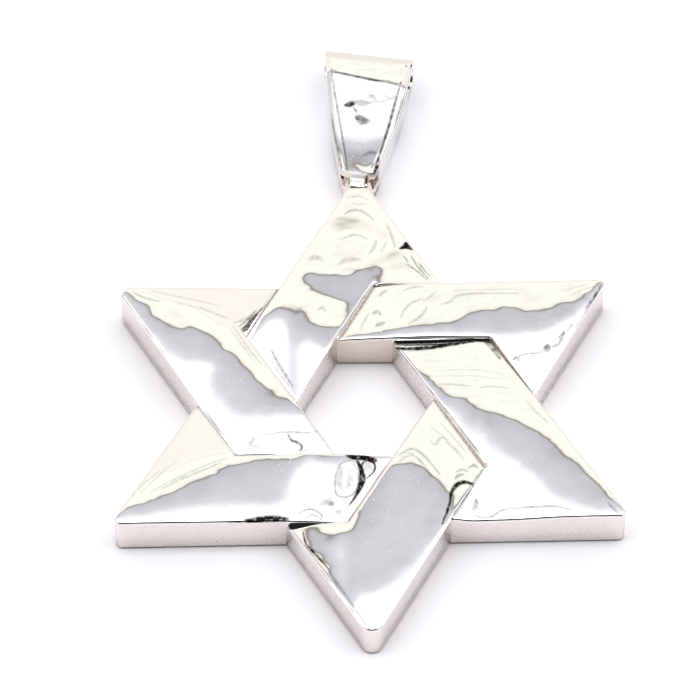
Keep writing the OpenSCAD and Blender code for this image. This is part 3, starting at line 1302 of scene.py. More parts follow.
@dataclass
class Star:
    """The woven star, one casting. Sizes are the CAD's, in millimetres.

    The horn's rows are the sections of a cheek beside the eye: their distance from the
    centre, lowest and highest point, inner and outer side. The angles from own to point_step
    are the directions of an arm's edges in its own frame, where its point lies at +Y.
    """

    point_r: float = 17.5
    star_t: float = 2.65
    bar_w: float = 4.95
    tip_r: float = 0.72
    lap_share: float = 0.72
    dive_len: float = 4.2
    cut_r: float = 16.15
    lip_r: float = 16.4
    lip_rise: tuple[float, float] = (1.65, 2.1)
    eye_y: float = 17.5
    eye_z: float = 1.2
    eye_bar_r: float = 0.4
    horn: tuple[tuple[float, float, float, float, float], ...] = (
        (15.2, 0.35, 2.46, 0.56, 0.98),
        (15.7, 0.35, 2.46, 0.56, 1.0),
        (16.1, 0.35, 2.44, 0.56, 0.95),
        (16.5, 0.42, 2.4, 0.56, 0.87),
        (16.9, 0.55, 2.33, 0.57, 0.8),
        (17.2, 0.66, 2.22, 0.57, 0.75),
        (17.45, 0.74, 2.02, 0.58, 0.73),
        (17.65, 0.83, 1.76, 0.59, 0.72),
        (17.8, 0.95, 1.48, 0.6, 0.7),
    )
    horn_round: float = 0.3
    horn_steps: int = 4
    eye_bar_x: tuple[float, ...] = (-0.62, -0.3, 0.0, 0.3, 0.62)
    eye_sides: int = 32
    rim_r: float = 0.15
    rim_rows: int = 8
    groove_w: float = 0.22
    groove_depth: float = 0.16
    groove_power: float = 1.4
    foot_r: float = 0.2
    dive_soft: float = 0.7
    flank_soft: float = 0.35
    margin: float = 0.2
    step: float = 0.14
    cell: float = 0.125
    clear: float = 0.55
    straight: float = 0.02
    own: float = 150.0
    next_edge: float = 210.0
    flank: float = 30.0
    base: float = 90.0
    point_step: float = 60.0
    tip_steps: int = 10
    ripple: Ripple = Ripple(2.5, 7, 14, 3, 0.15)
    reliefs: dict[int, tuple[Array, Array, Array]] = field(default_factory=dict)

    def arm(self, i: int) -> Arm:
        """Return an arm, counted round the star."""
        return ARMS[i % len(ARMS)]

    def edge_d(self, i: int) -> float:
        """Return how far an arm's outer edge lines lie from the centre."""
        return self.point_r * self.arm(i).reach / 2

    def top_h(self, i: int) -> float:
        """Return the height of an arm's top."""
        return self.star_t * self.arm(i).top

    def inner_top(self, i: int) -> Array:
        """Return where a bar's inner edge leaves its point, in the arm's own frame."""
        inner = self.edge_d(i) - self.bar_w * self.arm(i).point_w
        return meet(self.own, inner, self.base, self.edge_d(i - 1))

    def inner_end(self, i: int) -> Array:
        """Return where a bar's inner edge would meet the next plain bar."""
        inner = self.edge_d(i) - self.bar_w * self.arm(i).end_w
        return meet(self.own, inner, self.next_edge, self.edge_d(i + 1) - self.bar_w)

    def notch(self, i: int) -> Array:
        """Return the notch between an arm's flank and the bar before it."""
        return meet(self.flank, self.edge_d(i), self.base, self.edge_d(i - 1))

    def hole_corner(self, i: int) -> Array:
        """Return where an arm's inner edge runs under the next arm's."""
        far = turned(np.array([self.inner_top(i + 1), self.inner_end(i + 1)]), self.point_step)
        return crossing(self.inner_top(i), self.inner_end(i), far[0], far[1])

    def tip_points(self, i: int) -> list[Array]:
        """Return the corners of an arm's point, in its own frame."""
        if i % len(ARMS) == 0:
            sides = (self.flank, self.own)
            return [meet(side, self.edge_d(i), self.base, self.lip_r) for side in sides]
        r = self.tip_r * self.arm(i).tip
        centre = np.array([0, 2 * (self.edge_d(i) - r)])
        angles = np.linspace(self.flank, self.own, self.tip_steps + 1)
        return [centre + r * unit(a) for a in angles]

    def plain_height(self, i: int, own: Array) -> Array:
        """Return the height of an arm's top without its relief.

        Args:
            i: Number of the arm.
            own: Points in the arm's own frame.

        Returns:
            Heights of the plateau, the sinking far end and the sinking flank.
        """
        arm = self.arm(i)
        top = self.top_h(i)
        sunk = self.star_t * self.lap_share
        edge = turned(self.inner_top(i + 1), self.point_step)
        run = self.dive_len * arm.dive
        lean = unit(arm.dive_angle)
        # An arm that sinks at a slant does so round the middle of its visible end.
        end = edge if arm.dive_angle == self.next_edge else (edge + self.hole_corner(i)) / 2
        t = (own - end) @ lean + run
        height = top - (top - sunk * arm.end) / run * ramp_up(t, self.dive_soft)
        tip = np.array([0, 2 * self.edge_d(i)])
        hinge = self.inner_top(i) - tip
        sideways = unit(math.degrees(math.atan2(hinge[1], hinge[0])) + 90)
        width = (self.notch(i) - tip) @ sideways
        side = ramp_up((own - tip) @ sideways, self.flank_soft)
        return height - (top - sunk * arm.flank) / width * side

    def height(self, i: int, world: Array) -> Array:
        """Return the height of an arm's top.

        Args:
            i: Number of the arm.
            world: Plan points in the star's frame.

        Returns:
            The height at each point.
        """
        arm = self.arm(i)
        top = self.top_h(i)
        if i not in self.reliefs:
            corners = turned(np.array(self.ring(i)[0]), arm.direction - self.base)
            knots = arm.relief.knots(top)
            low = np.minimum(corners.min(axis=0), knots.min(axis=0)) - self.margin
            high = np.maximum(corners.max(axis=0), knots.max(axis=0)) + self.margin
            self.reliefs[i] = arm.relief.build(
                low,
                high,
                top,
                lambda line: self.plain_height(i, turned(line, self.base - arm.direction)),
            )
        return sample(self.reliefs[i], world) + self.ripple.lift(world)

    def ring(self, i: int) -> tuple[list[Array], list[Edge]]:
        """Draw the outline of an arm's visible top, in the arm's own frame.

        Args:
            i: Number of the arm.

        Returns:
            Its corners, counter-clockwise, and what the edge after each one does.
        """
        after = [
            turned(self.notch(i + 1), self.point_step),
            turned(self.inner_top(i + 1), self.point_step),
            self.hole_corner(i),
            turned(self.hole_corner(i - 1), -self.point_step),
            self.inner_top(i),
        ]
        tip = self.tip_points(i)
        corners = [self.notch(i), *tip, *after]
        kinds = [Edge.RIM] * (len(tip) + 2) + [Edge.GROOVE, Edge.RIM, Edge.RIM, Edge.FLANK]
        return corners, kinds

    def inset(self, corners: list[Array], kinds: list[Edge]) -> list[Array]:
        """Move the corners of a top inwards by each edge's own width.

        Args:
            corners: The corners, counter-clockwise.
            kinds: What the edge after each one does.

        Returns:
            The moved corners.
        """
        count = len(corners)
        widths = [self.rim_r if kind is Edge.RIM else self.groove_w for kind in kinds]
        moved = []
        for k in range(count):
            before, here, after = corners[k - 1], corners[k], corners[(k + 1) % count]
            u1 = (here - before) / np.linalg.norm(here - before)
            u2 = (after - here) / np.linalg.norm(after - here)
            n1, n2 = np.array([-u1[1], u1[0]]), np.array([-u2[1], u2[0]])
            w1, w2 = widths[k - 1], widths[k]
            if abs(cross2(u1, u2)) < self.straight:
                moved.append(here + (n1 * w1 + n2 * w2) / 2)
            else:
                p, q = here + n1 * w1, here + n2 * w2
                moved.append(crossing(p, p + u1, q, q + u2))
        return moved

    def build(self) -> bpy.types.Object:
        """Make the star's mesh.

        Returns:
            One closed mesh with the eye.
        """
        parts = MeshParts()
        rows = np.radians(np.linspace(0, 90, self.rim_rows))
        inward = 1 - np.sin(rows)
        rim_drop = self.rim_r * (1 - np.cos(rows))
        groove_drop = self.groove_depth * (1 - inward) ** self.groove_power
        count = len(ARMS)
        outer = [self.add_top(parts, i, inward, rim_drop, groove_drop) for i in range(count)]
        self.add_walls(parts, outer)
        self.add_eye(parts)
        return parts.build("polished_star", tuple(Finish), self.foot_r)

    def add_top(
        self, parts: MeshParts, i: int, inward: Array, rim_drop: Array, groove_drop: Array
    ) -> list[list[int]]:
        """Add the top of one arm.

        Args:
            parts: The mesh so far.
            i: Number of the arm.
            inward: Share of the edge's width at which each row of the edge lies.
            rim_drop: How far each row of a rounded edge lies under the top.
            groove_drop: The same for a groove.

        Returns:
            The outermost points of each edge, from corner to corner.
        """
        arm = self.arm(i)
        corners, kinds = self.ring(i)
        inner = self.inset(corners, kinds)
        count = len(corners)
        turn = arm.direction - self.base
        edges = {
            Edge.RIM: (rim_drop, 0.0),
            Edge.GROOVE: (groove_drop * arm.groove, arm.dirt_end),
            Edge.FLANK: (np.zeros_like(groove_drop), arm.dirt_flank),
        }
        spans, outs, ins, sinks, dirts = [], [], [], [], []
        for k in range(count):
            a, b = corners[k], corners[(k + 1) % count]
            c, d = inner[k], inner[(k + 1) % count]
            cuts = max(1, round(np.linalg.norm(b - a) / self.step))
            spans.append(cuts)
            share = (np.arange(cuts) / cuts)[:, None]
            outs.append(a + (b - a) * share)
            ins.append(c + (d - c) * share)
            drop, dirty = edges[kinds[k]]
            sink = np.tile(drop, (cuts, 1))
            # A corner sinks midway between its edges, the one before it a rim or a full groove.
            sink[0] = (drop + (rim_drop if kinds[k - 1] is Edge.RIM else groove_drop)) / 2
            sinks.append(sink)
            dirts.append(np.full(cuts, dirty))
        out, into = np.vstack(outs), np.vstack(ins)
        sink, dirt_and_shade = np.vstack(sinks), np.concatenate(dirts)
        rings = []
        for row, share in enumerate(inward):
            plan = turned(out + (into - out) * share, turn)
            z = self.height(i, plan) - sink[:, row]
            # The outermost points belong to the walls as well, and the top's stains, painted shade and
            # painted reflections stay off them.
            stain_and_shade = arm.relief.dirt_and_painted_shade(plan, self.top_h(i)) * (share > 0)
            # Dirt at the groove fades inwards; the top's stains, painted shade and painted reflections
            # join it.
            dark = np.maximum(dirt_and_shade * (1 - share) ** 2, stain_and_shade)
            rings.append(parts.add_points(np.column_stack([plan, z]), dark))
        total = len(out)
        for upper, lower in zip(rings, rings[1:]):
            for k in range(total):
                m = (k + 1) % total
                parts.add_face((upper[k], lower[k], lower[m], upper[m]), BUFFED)
        self.fill(parts, i, turned(into, turn), rings[0])
        LOG.info("arm %s: %d points so far", arm.name, len(parts.points))
        starts = np.concatenate([[0], np.cumsum(spans)])
        last = rings[-1] + [rings[-1][0]]
        return [last[starts[k] : starts[k + 1] + 1] for k in range(count)]

    def fill(self, parts: MeshParts, i: int, border: Array, numbers: list[int]) -> None:
        """Fill the inside of an arm's top with fine triangles.

        Args:
            parts: The mesh so far.
            i: Number of the arm.
            border: Plan points of the border, counter-clockwise.
            numbers: Their numbers in the mesh.
        """
        low, high = border.min(axis=0), border.max(axis=0)
        relief, top = self.arm(i).relief, self.top_h(i)
        grids = []
        for cell, fine in ((self.cell, False), (self.cell / 2, True)):
            row_h = cell * math.sqrt(3) / 2
            rows = np.arange(low[1], high[1], row_h)
            across, along = np.meshgrid(np.arange(low[0], high[0], cell), rows)
            across[1::2] += cell / 2
            grid = np.column_stack([across.ravel(), along.ravel()])
            grids.append(grid[relief.near_dark_mark(grid, top) == fine])
        points = np.vstack(grids)
        clear = np.ones(len(points), bool)
        for a, b in zip(border, np.roll(border, -1, axis=0)):
            clear &= from_segment(points, a, b)[0] > self.clear * self.cell
        points = points[inside_ring(points, border) & clear]
        z = self.height(i, points)
        # Stains, painted shade and painted reflections inside the top.
        stain_and_shade = relief.dirt_and_painted_shade(points, top)
        numbers = numbers + parts.add_points(np.column_stack([points, z]), stain_and_shade)
        every = np.vstack([border, points])
        loop = list(range(len(border)))
        inside_only, same_place = 1, 1e-7
        rows = [tuple(p) for p in every]
        result = delaunay_2d_cdt(rows, [], [loop], inside_only, same_place)
        _, _, faces, sources, _, _ = result
        for face in faces:
            parts.add_face([numbers[sources[v][0]] for v in face], BUFFED)

    def add_walls(self, parts: MeshParts, outer: list[list[list[int]]]) -> None:
        """Add the outer walls, the walls where one arm steps over another, and the back.

        Args:
            parts: The mesh so far.
            outer: For each arm the outermost points of each edge.
        """
        count = len(ARMS)
        tips = [len(self.tip_points(i)) for i in range(count)]
        # Behind its free edges each arm has five more, in this order: over the next arm's flank,
        # its own sunken end, at the hole, over the end of the arm before it and its sunken flank.
        inward = [edges[tip + 1 :] for edges, tip in zip(outer, tips)]
        sunken_end, sunken_flank = 1, 4
        feet: dict[int, int] = {}
        steps: dict[int, list[int]] = {}
        # The cut point overhangs the bail's foot: its wall steps back under the lip.
        lip = outer[0][1]
        back_half = meet(self.flank, self.edge_d(0), self.base, self.cut_r)[0]
        lip_half = meet(self.flank, self.edge_d(0), self.base, self.lip_r)[0]
        for number in lip:
            x, y, _ = parts.points[number]
            low, high = self.lip_rise
            foot_x = x * back_half / lip_half
            rows = np.array([[foot_x, self.cut_r, 0.0], [foot_x, self.cut_r, low], [x, y, high]])
            feet[number], *steps[number] = parts.add_points(rows)

        def foot(number: int) -> int:
            """Return the number of the point on the table under a point of the top."""
            if number not in feet:
                x, y, _ = parts.points[number]
                if y > self.cut_r:
                    corner = min(lip[0], lip[-1], key=lambda n: abs(parts.points[n][0] - x))
                    feet[number] = feet[corner]
                else:
                    feet[number] = parts.add_points(np.array([[x, y, 0.0]]))[0]
            return feet[number]

        for i in range(count):
            free = outer[i][: tips[i] + 1]
            step_flank, _, hole, step_end, _ = inward[i]
            after = (i + 1) % count
            end_before = inward[i - 1][sunken_end]
            # Where two walls share a corner, each lists the other's point there as well.
            ends = {
                free[-1][-1]: [outer[after][0][0]],
                hole[0]: [],
                hole[-1]: [end_before[-1]],
            }
            for line in (*free, hole):
                finish = RAW if line is hole and i == count - 1 else FILED
                for a, b in zip(line, line[1:]):
                    right = ends.get(b, []) or steps.get(b, [])
                    left = ends.get(a, []) if line is hole else steps.get(a, [])
                    side_b = [foot(b), *right, b]
                    side_a = [a, *left[::-1], foot(a)]
                    if line is free[1] and i == 0:
                        down_b = side_b[::-1]
                        for row in range(len(side_a) - 1):
                            corners = (*side_a[row : row + 2], down_b[row + 1], down_b[row])
                            parts.add_face(corners, finish)
                        continue
                    parts.add_face((*side_a, *side_b), finish)
            over_flank, over_end = self.arm(i).step_finish
            self.add_step(parts, step_flank, inward[after][sunken_flank][::-1], over_flank)
            self.add_step(parts, step_end, end_before[::-1], over_end)
            back = [foot(n) for line in free for n in line[:-1]]
            back += [foot(free[-1][-1])]
            back += [foot(n) for n in hole]
            parts.add_face(back[::-1], FILED)

    def add_eye(self, parts: MeshParts) -> None:
        """Add the two cheeks beside the slot in the cut point and the bar between them.

        Args:
            parts: The mesh so far.
        """
        corner = np.radians(np.linspace(0, 90, self.horn_steps))
        for side in (-1, 1):
            rings = []
            for y, low, high, inner, outer in self.horn:
                r = self.horn_round * (outer - inner)
                box = ((outer, high, 0), (inner, high, 90), (inner, low, 180), (outer, low, 270))
                loop = []
                for x, z, start in box:
                    centre_x = x - r if x == outer else x + r
                    centre_z = z - r if z == high else z + r
                    for a in corner + math.radians(start):
                        spot_x = side * (centre_x + r * math.cos(a))
                        loop.append((spot_x, y, centre_z + r * math.sin(a)))
                rings.append(parts.add_points(np.array(loop[::side])))
            self.add_loft(parts, rings)
        angles = np.linspace(0, 2 * math.pi, self.eye_sides, endpoint=False)
        y = self.eye_y + self.eye_bar_r * np.cos(angles)
        z = self.eye_z + self.eye_bar_r * np.sin(angles)
        rings = []
        for x in self.eye_bar_x:
            bar = np.column_stack([np.full(self.eye_sides, x), y, z])
            rings.append(parts.add_points(bar)[::-1])
        self.add_loft(parts, rings)

    def add_loft(self, parts: MeshParts, rings: list[list[int]]) -> None:
        """Join rings of points into a closed, filed skin with a cap at each end.

        Args:
            parts: The mesh so far.
            rings: Numbers of the points in each ring.
        """
        width = len(rings[0])
        for near, far in zip(rings, rings[1:]):
            for k in range(width):
                m = (k + 1) % width
                parts.add_face((near[k], near[m], far[m], far[k]), FILED)
        parts.add_face(rings[0][::-1], FILED)
        parts.add_face(rings[-1], FILED)

    def add_step(self, parts: MeshParts, upper: list[int], lower: list[int], finish: int) -> None:
        """Add the wall from an arm's edge down to the arm that it passes over.

        Args:
            parts: The mesh so far.
            upper: Numbers of the points on the edge.
            lower: Numbers of the points at the wall's foot.
            finish: Number of the wall's finish.
        """
        for k in range(len(upper) - 1):
            parts.add_face((upper[k], lower[k], lower[k + 1], upper[k + 1]), finish)


# Bail


@dataclass(frozen=True)
class BentStrip:
    """Geometry Nodes that bend a flat blank round a path, as the maker folds the strip.

    The blank's X is a share of the strip's half width, Y the length along the path and Z the
    depth under the outer face. Its overhang attribute is what an edge's rounding adds to X.
    """

    name: str = "bent_strip"
    sockets: tuple[tuple[str, str, str], ...] = (
        ("Blank", "INPUT", "Geometry"),
        ("Strip", "OUTPUT", "Geometry"),
        ("Path", "INPUT", "Object"),
        ("Finish", "INPUT", "Material"),
        ("Foot half width", "INPUT", "Float"),
        ("Half widening", "INPUT", "Float"),
        ("Taper start", "INPUT", "Float"),
        ("Taper length", "INPUT", "Float"),
        ("Side bulge", "INPUT", "Float"),
        ("Tongue half width", "INPUT", "Float"),
        ("Shoulder", "INPUT", "Float"),
        ("Skew slope", "INPUT", "Float"),
        ("Turn", "INPUT", "Vector"),
        ("Place", "INPUT", "Vector"),
    )

    def build(self) -> bpy.types.NodeTree:
        """Make the tree.

        Returns:
            The node group, with an input for each size.
        """
        tree = bpy.data.node_groups.new(self.name, "GeometryNodeTree")
        for title, way, kind in self.sockets:
            socket = f"NodeSocket{kind}"
            tree.interface.new_socket(title, in_out=way, socket_type=socket)
        given = add_node(tree, "NodeGroupInput").outputs
        take, times, add = ({"operation": name} for name in ("SUBTRACT", "MULTIPLY", "MULTIPLY_ADD"))

        # Where the blank's points lie along the path.
        relative = {"transform_space": "RELATIVE"}
        path = add_node(tree, "GeometryNodeObjectInfo", relative, {"Object": given["Path"]})
        spot = add_node(tree, "GeometryNodeInputPosition")
        flat = add_node(tree, "ShaderNodeSeparateXYZ", None, [spot]).outputs
        by_length = {"mode": "LENGTH", "use_all_curves": True}
        along = {"Curves": path.outputs["Geometry"], "Length": flat["Y"]}
        on_path = add_node(tree, "GeometryNodeSampleCurve", by_length, along).outputs
        from_eye = add_node(tree, "ShaderNodeSeparateXYZ", None, [on_path["Position"]]).outputs["Y"]

        # The half width: the straight taper, its bulge and the shoulders beside the tongue.
        share = add_node(tree, MATH, take, [from_eye, given["Taper start"]])
        share = add_node(tree, MATH, {"operation": "DIVIDE"}, [share, given["Taper length"]])
        taper = [share, given["Half widening"], given["Foot half width"]]
        straight = add_node(tree, MATH, add, taper)
        rest = add_node(tree, MATH, take, [1.0, share])
        hump = add_node(tree, MATH, times, [share, rest])
        bulge = add_node(tree, MATH, times, [given["Side bulge"], 4.0])
        wide = add_node(tree, MATH, add, [hump, bulge, straight])
        low = add_node(tree, MATH, take, [given["Taper start"], given["Shoulder"]])
        shoulder = [from_eye, low, given["Taper start"], given["Tongue half width"], wide]
        half = add_node(tree, MAP_RANGE, {"interpolation_type": "SMOOTHSTEP"}, shoulder)

        # The bent point: on the path, in by its depth and aside by its share of the half width.
        float_data = {"data_type": "FLOAT"}
        edge = add_node(tree, "GeometryNodeInputNamedAttribute", float_data, ["overhang"])
        centre = add_node(tree, MATH, add, [from_eye, given["Skew slope"], edge])
        across = add_node(tree, MATH, add, [flat["X"], half, centre])
        sideways = add_node(tree, "ShaderNodeCombineXYZ", None, [across])
        vectors = "ShaderNodeVectorMath"
        cross = {"operation": "CROSS_PRODUCT"}
        inward = add_node(tree, vectors, cross, [on_path["Tangent"], (1.0, 0.0, 0.0)])
        sunk = {0: inward, "Scale": flat["Z"]}
        depth = add_node(tree, vectors, {"operation": "SCALE"}, sunk)
        place = add_node(tree, vectors, {"operation": "ADD"}, [on_path["Position"], depth])
        place = add_node(tree, vectors, {"operation": "ADD"}, [place, sideways])
        bent = {"Geometry": given["Blank"], "Position": place}
        bent = add_node(tree, "GeometryNodeSetPosition", None, bent)

        laid = {"Geometry": bent, "Translation": given["Place"], "Rotation": given["Turn"]}
        laid = add_node(tree, "GeometryNodeTransform", None, laid)
        whole = add_node(tree, "GeometryNodeRealizeInstances", None, [laid])
        dressed = {"Geometry": whole, "Material": given["Finish"]}
        dressed = add_node(tree, "GeometryNodeSetMaterial", None, dressed)
        add_node(tree, "NodeGroupOutput", None, [dressed])
        return tree


@dataclass
class Bail:
    """The folded strip that hooks through the eye. Sizes are the CAD's, in millimetres.

    The bevels are the slanting borders of the front leg, left and right, by their width and
    depth. They grow over bevel_grow from bevel_start on, which is measured from the eye.
    """

    strip_t: float = 0.65
    fold_t: float = 2.75
    bail_len: float = 11.65
    fold_w: float = 5.85
    foot_w: float = 2.1
    side_bulge: float = 0.25
    tongue_l: float = 1.5
    tongue_w: float = 0.98
    passage_l: float = 2.0
    slit_h: float = 0.3
    lean: float = 5.8
    fold_skew: float = 3.8
    foot_t: float = 2.4
    eye_y: float = 17.5
    shoulder: float = 0.12
    edge_r: float = 0.1
    bevel_w: tuple[float, float] = (0.25, 0.3)
    bevel_d: tuple[float, float] = (0.07, 0.11)
    bevel_start: float = 0.45
    bevel_grow: float = 1.0
    bevel_power: float = 1.3
    step: float = 0.09
    columns: int = 60
    inner_stride: int = 4
    corner_steps: int = 5
    bend_step: int = 3
    face: Relief = Relief(
        ground=WHITE - 3.2,
        marks=(
            Pool(CREAM - 2.1, 0.25, (
                (315, 74), (331, 73), (344, 76), (356, 79.5), (380, 82.5), (400, 86), (425, 91),
                (425, 40), (315, 40),
            )),
            Pool(GREY - 1.3, 2.0, (
                (300, 134), (330, 138), (350, 142), (370, 142), (400, 136), (430, 128), (430, 190),
                (300, 190),
            )),
            Pool(LINE + 0.6, 1.0, (
                (346, 152), (358, 153), (374, 151), (390, 146), (382, 190), (350, 190),
            )),
            Pool(CREAM, 0.22, ((354, 162), (366, 165), (382, 161), (379, 171), (372, 178), (362, 170))),
            Pool(WHITE, 0.4, ((338, 174), (350, 171), (362, 172), (371, 178), (372, 196), (338, 196))),
        ),
        line=((300, 172), (345, 172), (375, 172), (430, 172)),
        brush=0, streaks=0.25, seed=71,
        # Stains with painted shade in the gaps beside the legs' edges and in the eye's corners, and
        # painted reflections of the tent's dark strips.
        stains_and_painted_shade=(
            Pool(0.85, 0.14, ((343, 106), (347, 103), (352, 102), (355, 104), (353, 107), (348, 108))),
            Pool(0.4, 0.16, ((354, 102), (362, 101), (370, 103), (376, 101), (368, 106), (358, 107))),
            Stroke(0.6, 0.13, ((352, 107), (355, 111), (358, 115))),
            Pool(0.68, 0.14, ((354, 117), (358, 115), (364, 117), (371, 121), (366, 124), (359, 124))),
            Stroke(0.4, 0.26, ((369, 100), (372, 97), (377, 102))),
            Stroke(0.35, 0.14, ((374, 103), (386, 102), (396, 98), (401, 92))),
            Stroke(0.3, 0.16, ((385, 97), (389, 99), (392, 101))),
            Stroke(0.25, 0.16, ((338, 113), (341, 110), (345, 107))),
            Stroke(0.18, 0.16, ((354, 144), (359, 142), (364, 145))),
            Stroke(0.4, 0.3, ((364, 154), (371, 151), (378, 152))),
            Stroke(0.5, 0.16, ((364, 170), (370, 174), (376, 176))),
            # Painted shade: the dark gaps along the front leg's left and right edges.
            Stroke(0.6, 0.13, ((329, 66), (333, 92), (339, 124), (344, 152), (347, 174))),
            Stroke(0.8, 0.2, ((402, 84), (396, 106), (388, 132), (380, 156), (374, 177))),
            Stroke(0.4, 0.12, ((406, 86), (400, 110), (391, 142), (381, 176))),
            Stroke(0.5, 0.14, ((322, 84), (329, 112), (335, 140), (341, 168))),
            Stroke(0.8, 0.16, ((327, 73.5), (344, 76.5), (366, 81), (390, 85), (405, 89))),
            # Painted shade in the eye's corners beside the tongue.
            Stroke(0.45, 0.35, ((366, 175), (369, 180), (367, 187))),
            Stroke(0.35, 0.25, ((346, 176), (349, 181), (347, 187))),
        ),
    )
    fold_blend: float = 1.5
    foot_blend: float = 0.3
    foot_power: int = 3
    face_rise: float = 0.15
    face_margin: float = 0.3
    dark_mark_start: float = 0.8
    polish_limit: float = 0.6

    @property
    def foot_r(self) -> float:
        """Radius of the foot's bend."""
        return self.foot_t / 2

    @property
    def fold_r(self) -> float:
        """Radius of the fold."""
        return self.fold_t / 2

    @property
    def leg(self) -> float:
        """Length of each straight leg."""
        return self.bail_len - self.fold_r - self.foot_r

    @property
    def rise(self) -> float:
        """Angle in degrees at which the front leg rises to the fold."""
        return 2 * math.degrees(math.atan((self.fold_r - self.foot_r) / self.leg))

    def foot_angles(self) -> Array:
        """Return the angles of the foot's bend in steps, from its underside on."""
        return np.arange(270, 90 + self.rise, -self.bend_step)

    def path(self) -> Array:
        """Return the outer face's side view, from the foot's underside over the front leg.

        Returns:
            Rows of length from the eye and height, in millimetres.
        """
        start = (0.0, self.foot_r, self.foot_r)
        end = (self.leg, self.fold_r, self.fold_r)
        top = 90 + self.rise
        foot = [(*start, a) for a in self.foot_angles()]
        fold = [(*end, a) for a in np.arange(top, -90, -self.bend_step)]
        rows = [*foot, (*start, top), *fold, (*end, -90.0)]
        points = []
        for number, (y, z, r, a) in enumerate(rows):
            way = unit(a)
            # The foot's upper bend is squarer than a circle, so it stays flat up to the eye.
            if number < len(foot) and a < 180:
                r /= (abs(way**self.foot_power)).sum() ** (1 / self.foot_power)
            points.append(np.array([y, z]) + r * way)
        return np.array(points)

    def marks(self) -> dict[str, float]:
        """Return the lengths along the path at which the foot, the legs and the fold end."""
        foot = float(self.path_lengths()[0][len(self.foot_angles())])
        front = foot + self.leg
        fold = front + self.fold_r * math.radians(180 + self.rise)
        return {"foot": foot, "front": front, "fold": fold, "back": fold + self.leg}

    def half_width(self, y: Array) -> Array:
        """Return the strip's half width at a length from the eye."""
        start = self.tongue_l - self.foot_r
        share = (y - start) / (self.bail_len - self.tongue_l)
        half = self.foot_w / 2 + (self.fold_w - self.foot_w) / 2 * share
        half = half + 4 * self.side_bulge * share * (1 - share)
        return np.where(y < start, self.tongue_w / 2, half)

    def section(self) -> list[tuple[float, float, float, float]]:
        """Draw the strip's section, from the left of the outer face round to where it starts.

        Returns:
            For each point its share of the half width, how far an edge's rounding moves it
            aside and sinks it in millimetres, and 0 on the outer face or 1 on the inner one.
        """
        t, r = np.linspace(-1, 1, self.columns), self.edge_r
        quarter = np.radians(np.linspace(90, 0, self.corner_steps))
        aside, sink = np.cos(quarter) * r, (1 - np.sin(quarter)) * r
        outer = list(zip(aside, sink))
        rows = [(share, 0.0, 0.0, 0.0) for share in t]
        rows += [(1.0, x, z, 0.0) for x, z in outer[1:]]
        rows += [(1.0, x, -z, 1.0) for x, z in outer[::-1]]
        stride = self.inner_stride
        rows += [(share, 0.0, 0.0, 1.0) for share in t[::-1][stride:-stride:stride]]
        rows += [(-1.0, -x, -z, 1.0) for x, z in outer]
        return rows + [(-1.0, -x, z, 0.0) for x, z in outer[:0:-1]]

    def blank(self) -> bpy.types.Object:
        """Make the flat strip, closed along the path and across it.

        Returns:
            The blank with its overhang attribute and its attribute of stains, painted shade and painted
            reflections.
        """
        marks = self.marks()
        count = round(marks["back"] / self.step)
        length = np.arange(count) * marks["back"] / count
        back = np.clip(length - marks["fold"], 0, None)
        from_eye = np.where(back > 0, self.leg - back, 0)
        end = self.bail_len - self.strip_t - self.passage_l - self.foot_r
        rise = math.radians(self.rise)
        # The back leg is thick as far as the passage, up to a slit under the front leg.
        gap = self.foot_r - self.strip_t + from_eye * math.sin(rise)
        under = self.foot_r + gap / math.cos(rise)
        filled = (back > 0) & (from_eye < end) & (from_eye > self.foot_r)
        thick = np.where(filled, under - self.slit_h, self.strip_t)
        section = self.section()
        parts = MeshParts()
        rings = []
        overhang: list[float] = []
        r = self.edge_r
        local_y = np.interp(length, *self.path_lengths())
        half = self.half_width(local_y)
        front = (length > marks["foot"]) & (length < marks["front"] + self.foot_blend)
        grow = np.clip((local_y - self.bevel_start) / self.bevel_grow, 0, 1)
        for k, along in enumerate(length):
            rows = []
            for share, out, sink, inner in section:
                depth = sink + inner * thick[k]
                if front[k] and not inner:
                    side = int(share > 0)
                    edge = (1 - abs(share)) * (half[k] - r)
                    slant = max(0, 1 - edge / self.bevel_w[side])
                    depth += grow[k] * self.bevel_d[side] * slant**self.bevel_power
                rows.append((share, along, depth))
                overhang.append(out - math.copysign(r, share) * abs(share))
            rings.append(parts.add_points(np.array(rows)))
        width = len(section)
        for k in range(count):
            here, there = rings[k], rings[(k + 1) % count]
            for m in range(width):
                n = (m + 1) % width
                parts.add_face((here[m], here[n], there[n], there[m]), BUFFED)
        points = np.array(parts.points)
        points[:, 2] -= self.relief(points, local_y, half, width)
        parts.points = list(points)
        mesh = bpy.data.meshes.new("bail_blank")
        scale = np.array([1.0, METRE, METRE])
        mesh.from_pydata((points * scale).tolist(), [], parts.faces)
        plan = self.plan(points, local_y, half, width)
        # Stains, painted shade and painted reflections on the outer face.
        stain_and_shade = self.face.dirt_and_painted_shade(plan, self.foot_t + self.face_rise)
        outer = points[:, 2] < self.strip_t / 2
        outer &= points[:, 1] > marks["foot"] - self.dark_mark_start
        values = {"overhang": np.array(overhang) * METRE, "dirt_and_painted_shade": np.where(outer, stain_and_shade, 0)}
        for name, rows in values.items():
            layer = mesh.attributes.new(name, "FLOAT", "POINT")
            layer.data.foreach_set("value", rows.tolist())
        mesh.polygons.foreach_set("use_smooth", [True] * len(mesh.polygons))
        thing = bpy.data.objects.new("bail_blank", mesh)
        bpy.context.scene.collection.objects.link(thing)
        return thing

    def path_lengths(self) -> tuple[Array, Array]:
        """Return lengths along the path and the distances from the eye there."""
        path = self.path()
        closed = np.vstack([path, path[:1]])
        steps = np.linalg.norm(np.diff(closed, axis=0), axis=1)
        return np.concatenate([[0], np.cumsum(steps)]), closed[:, 0]

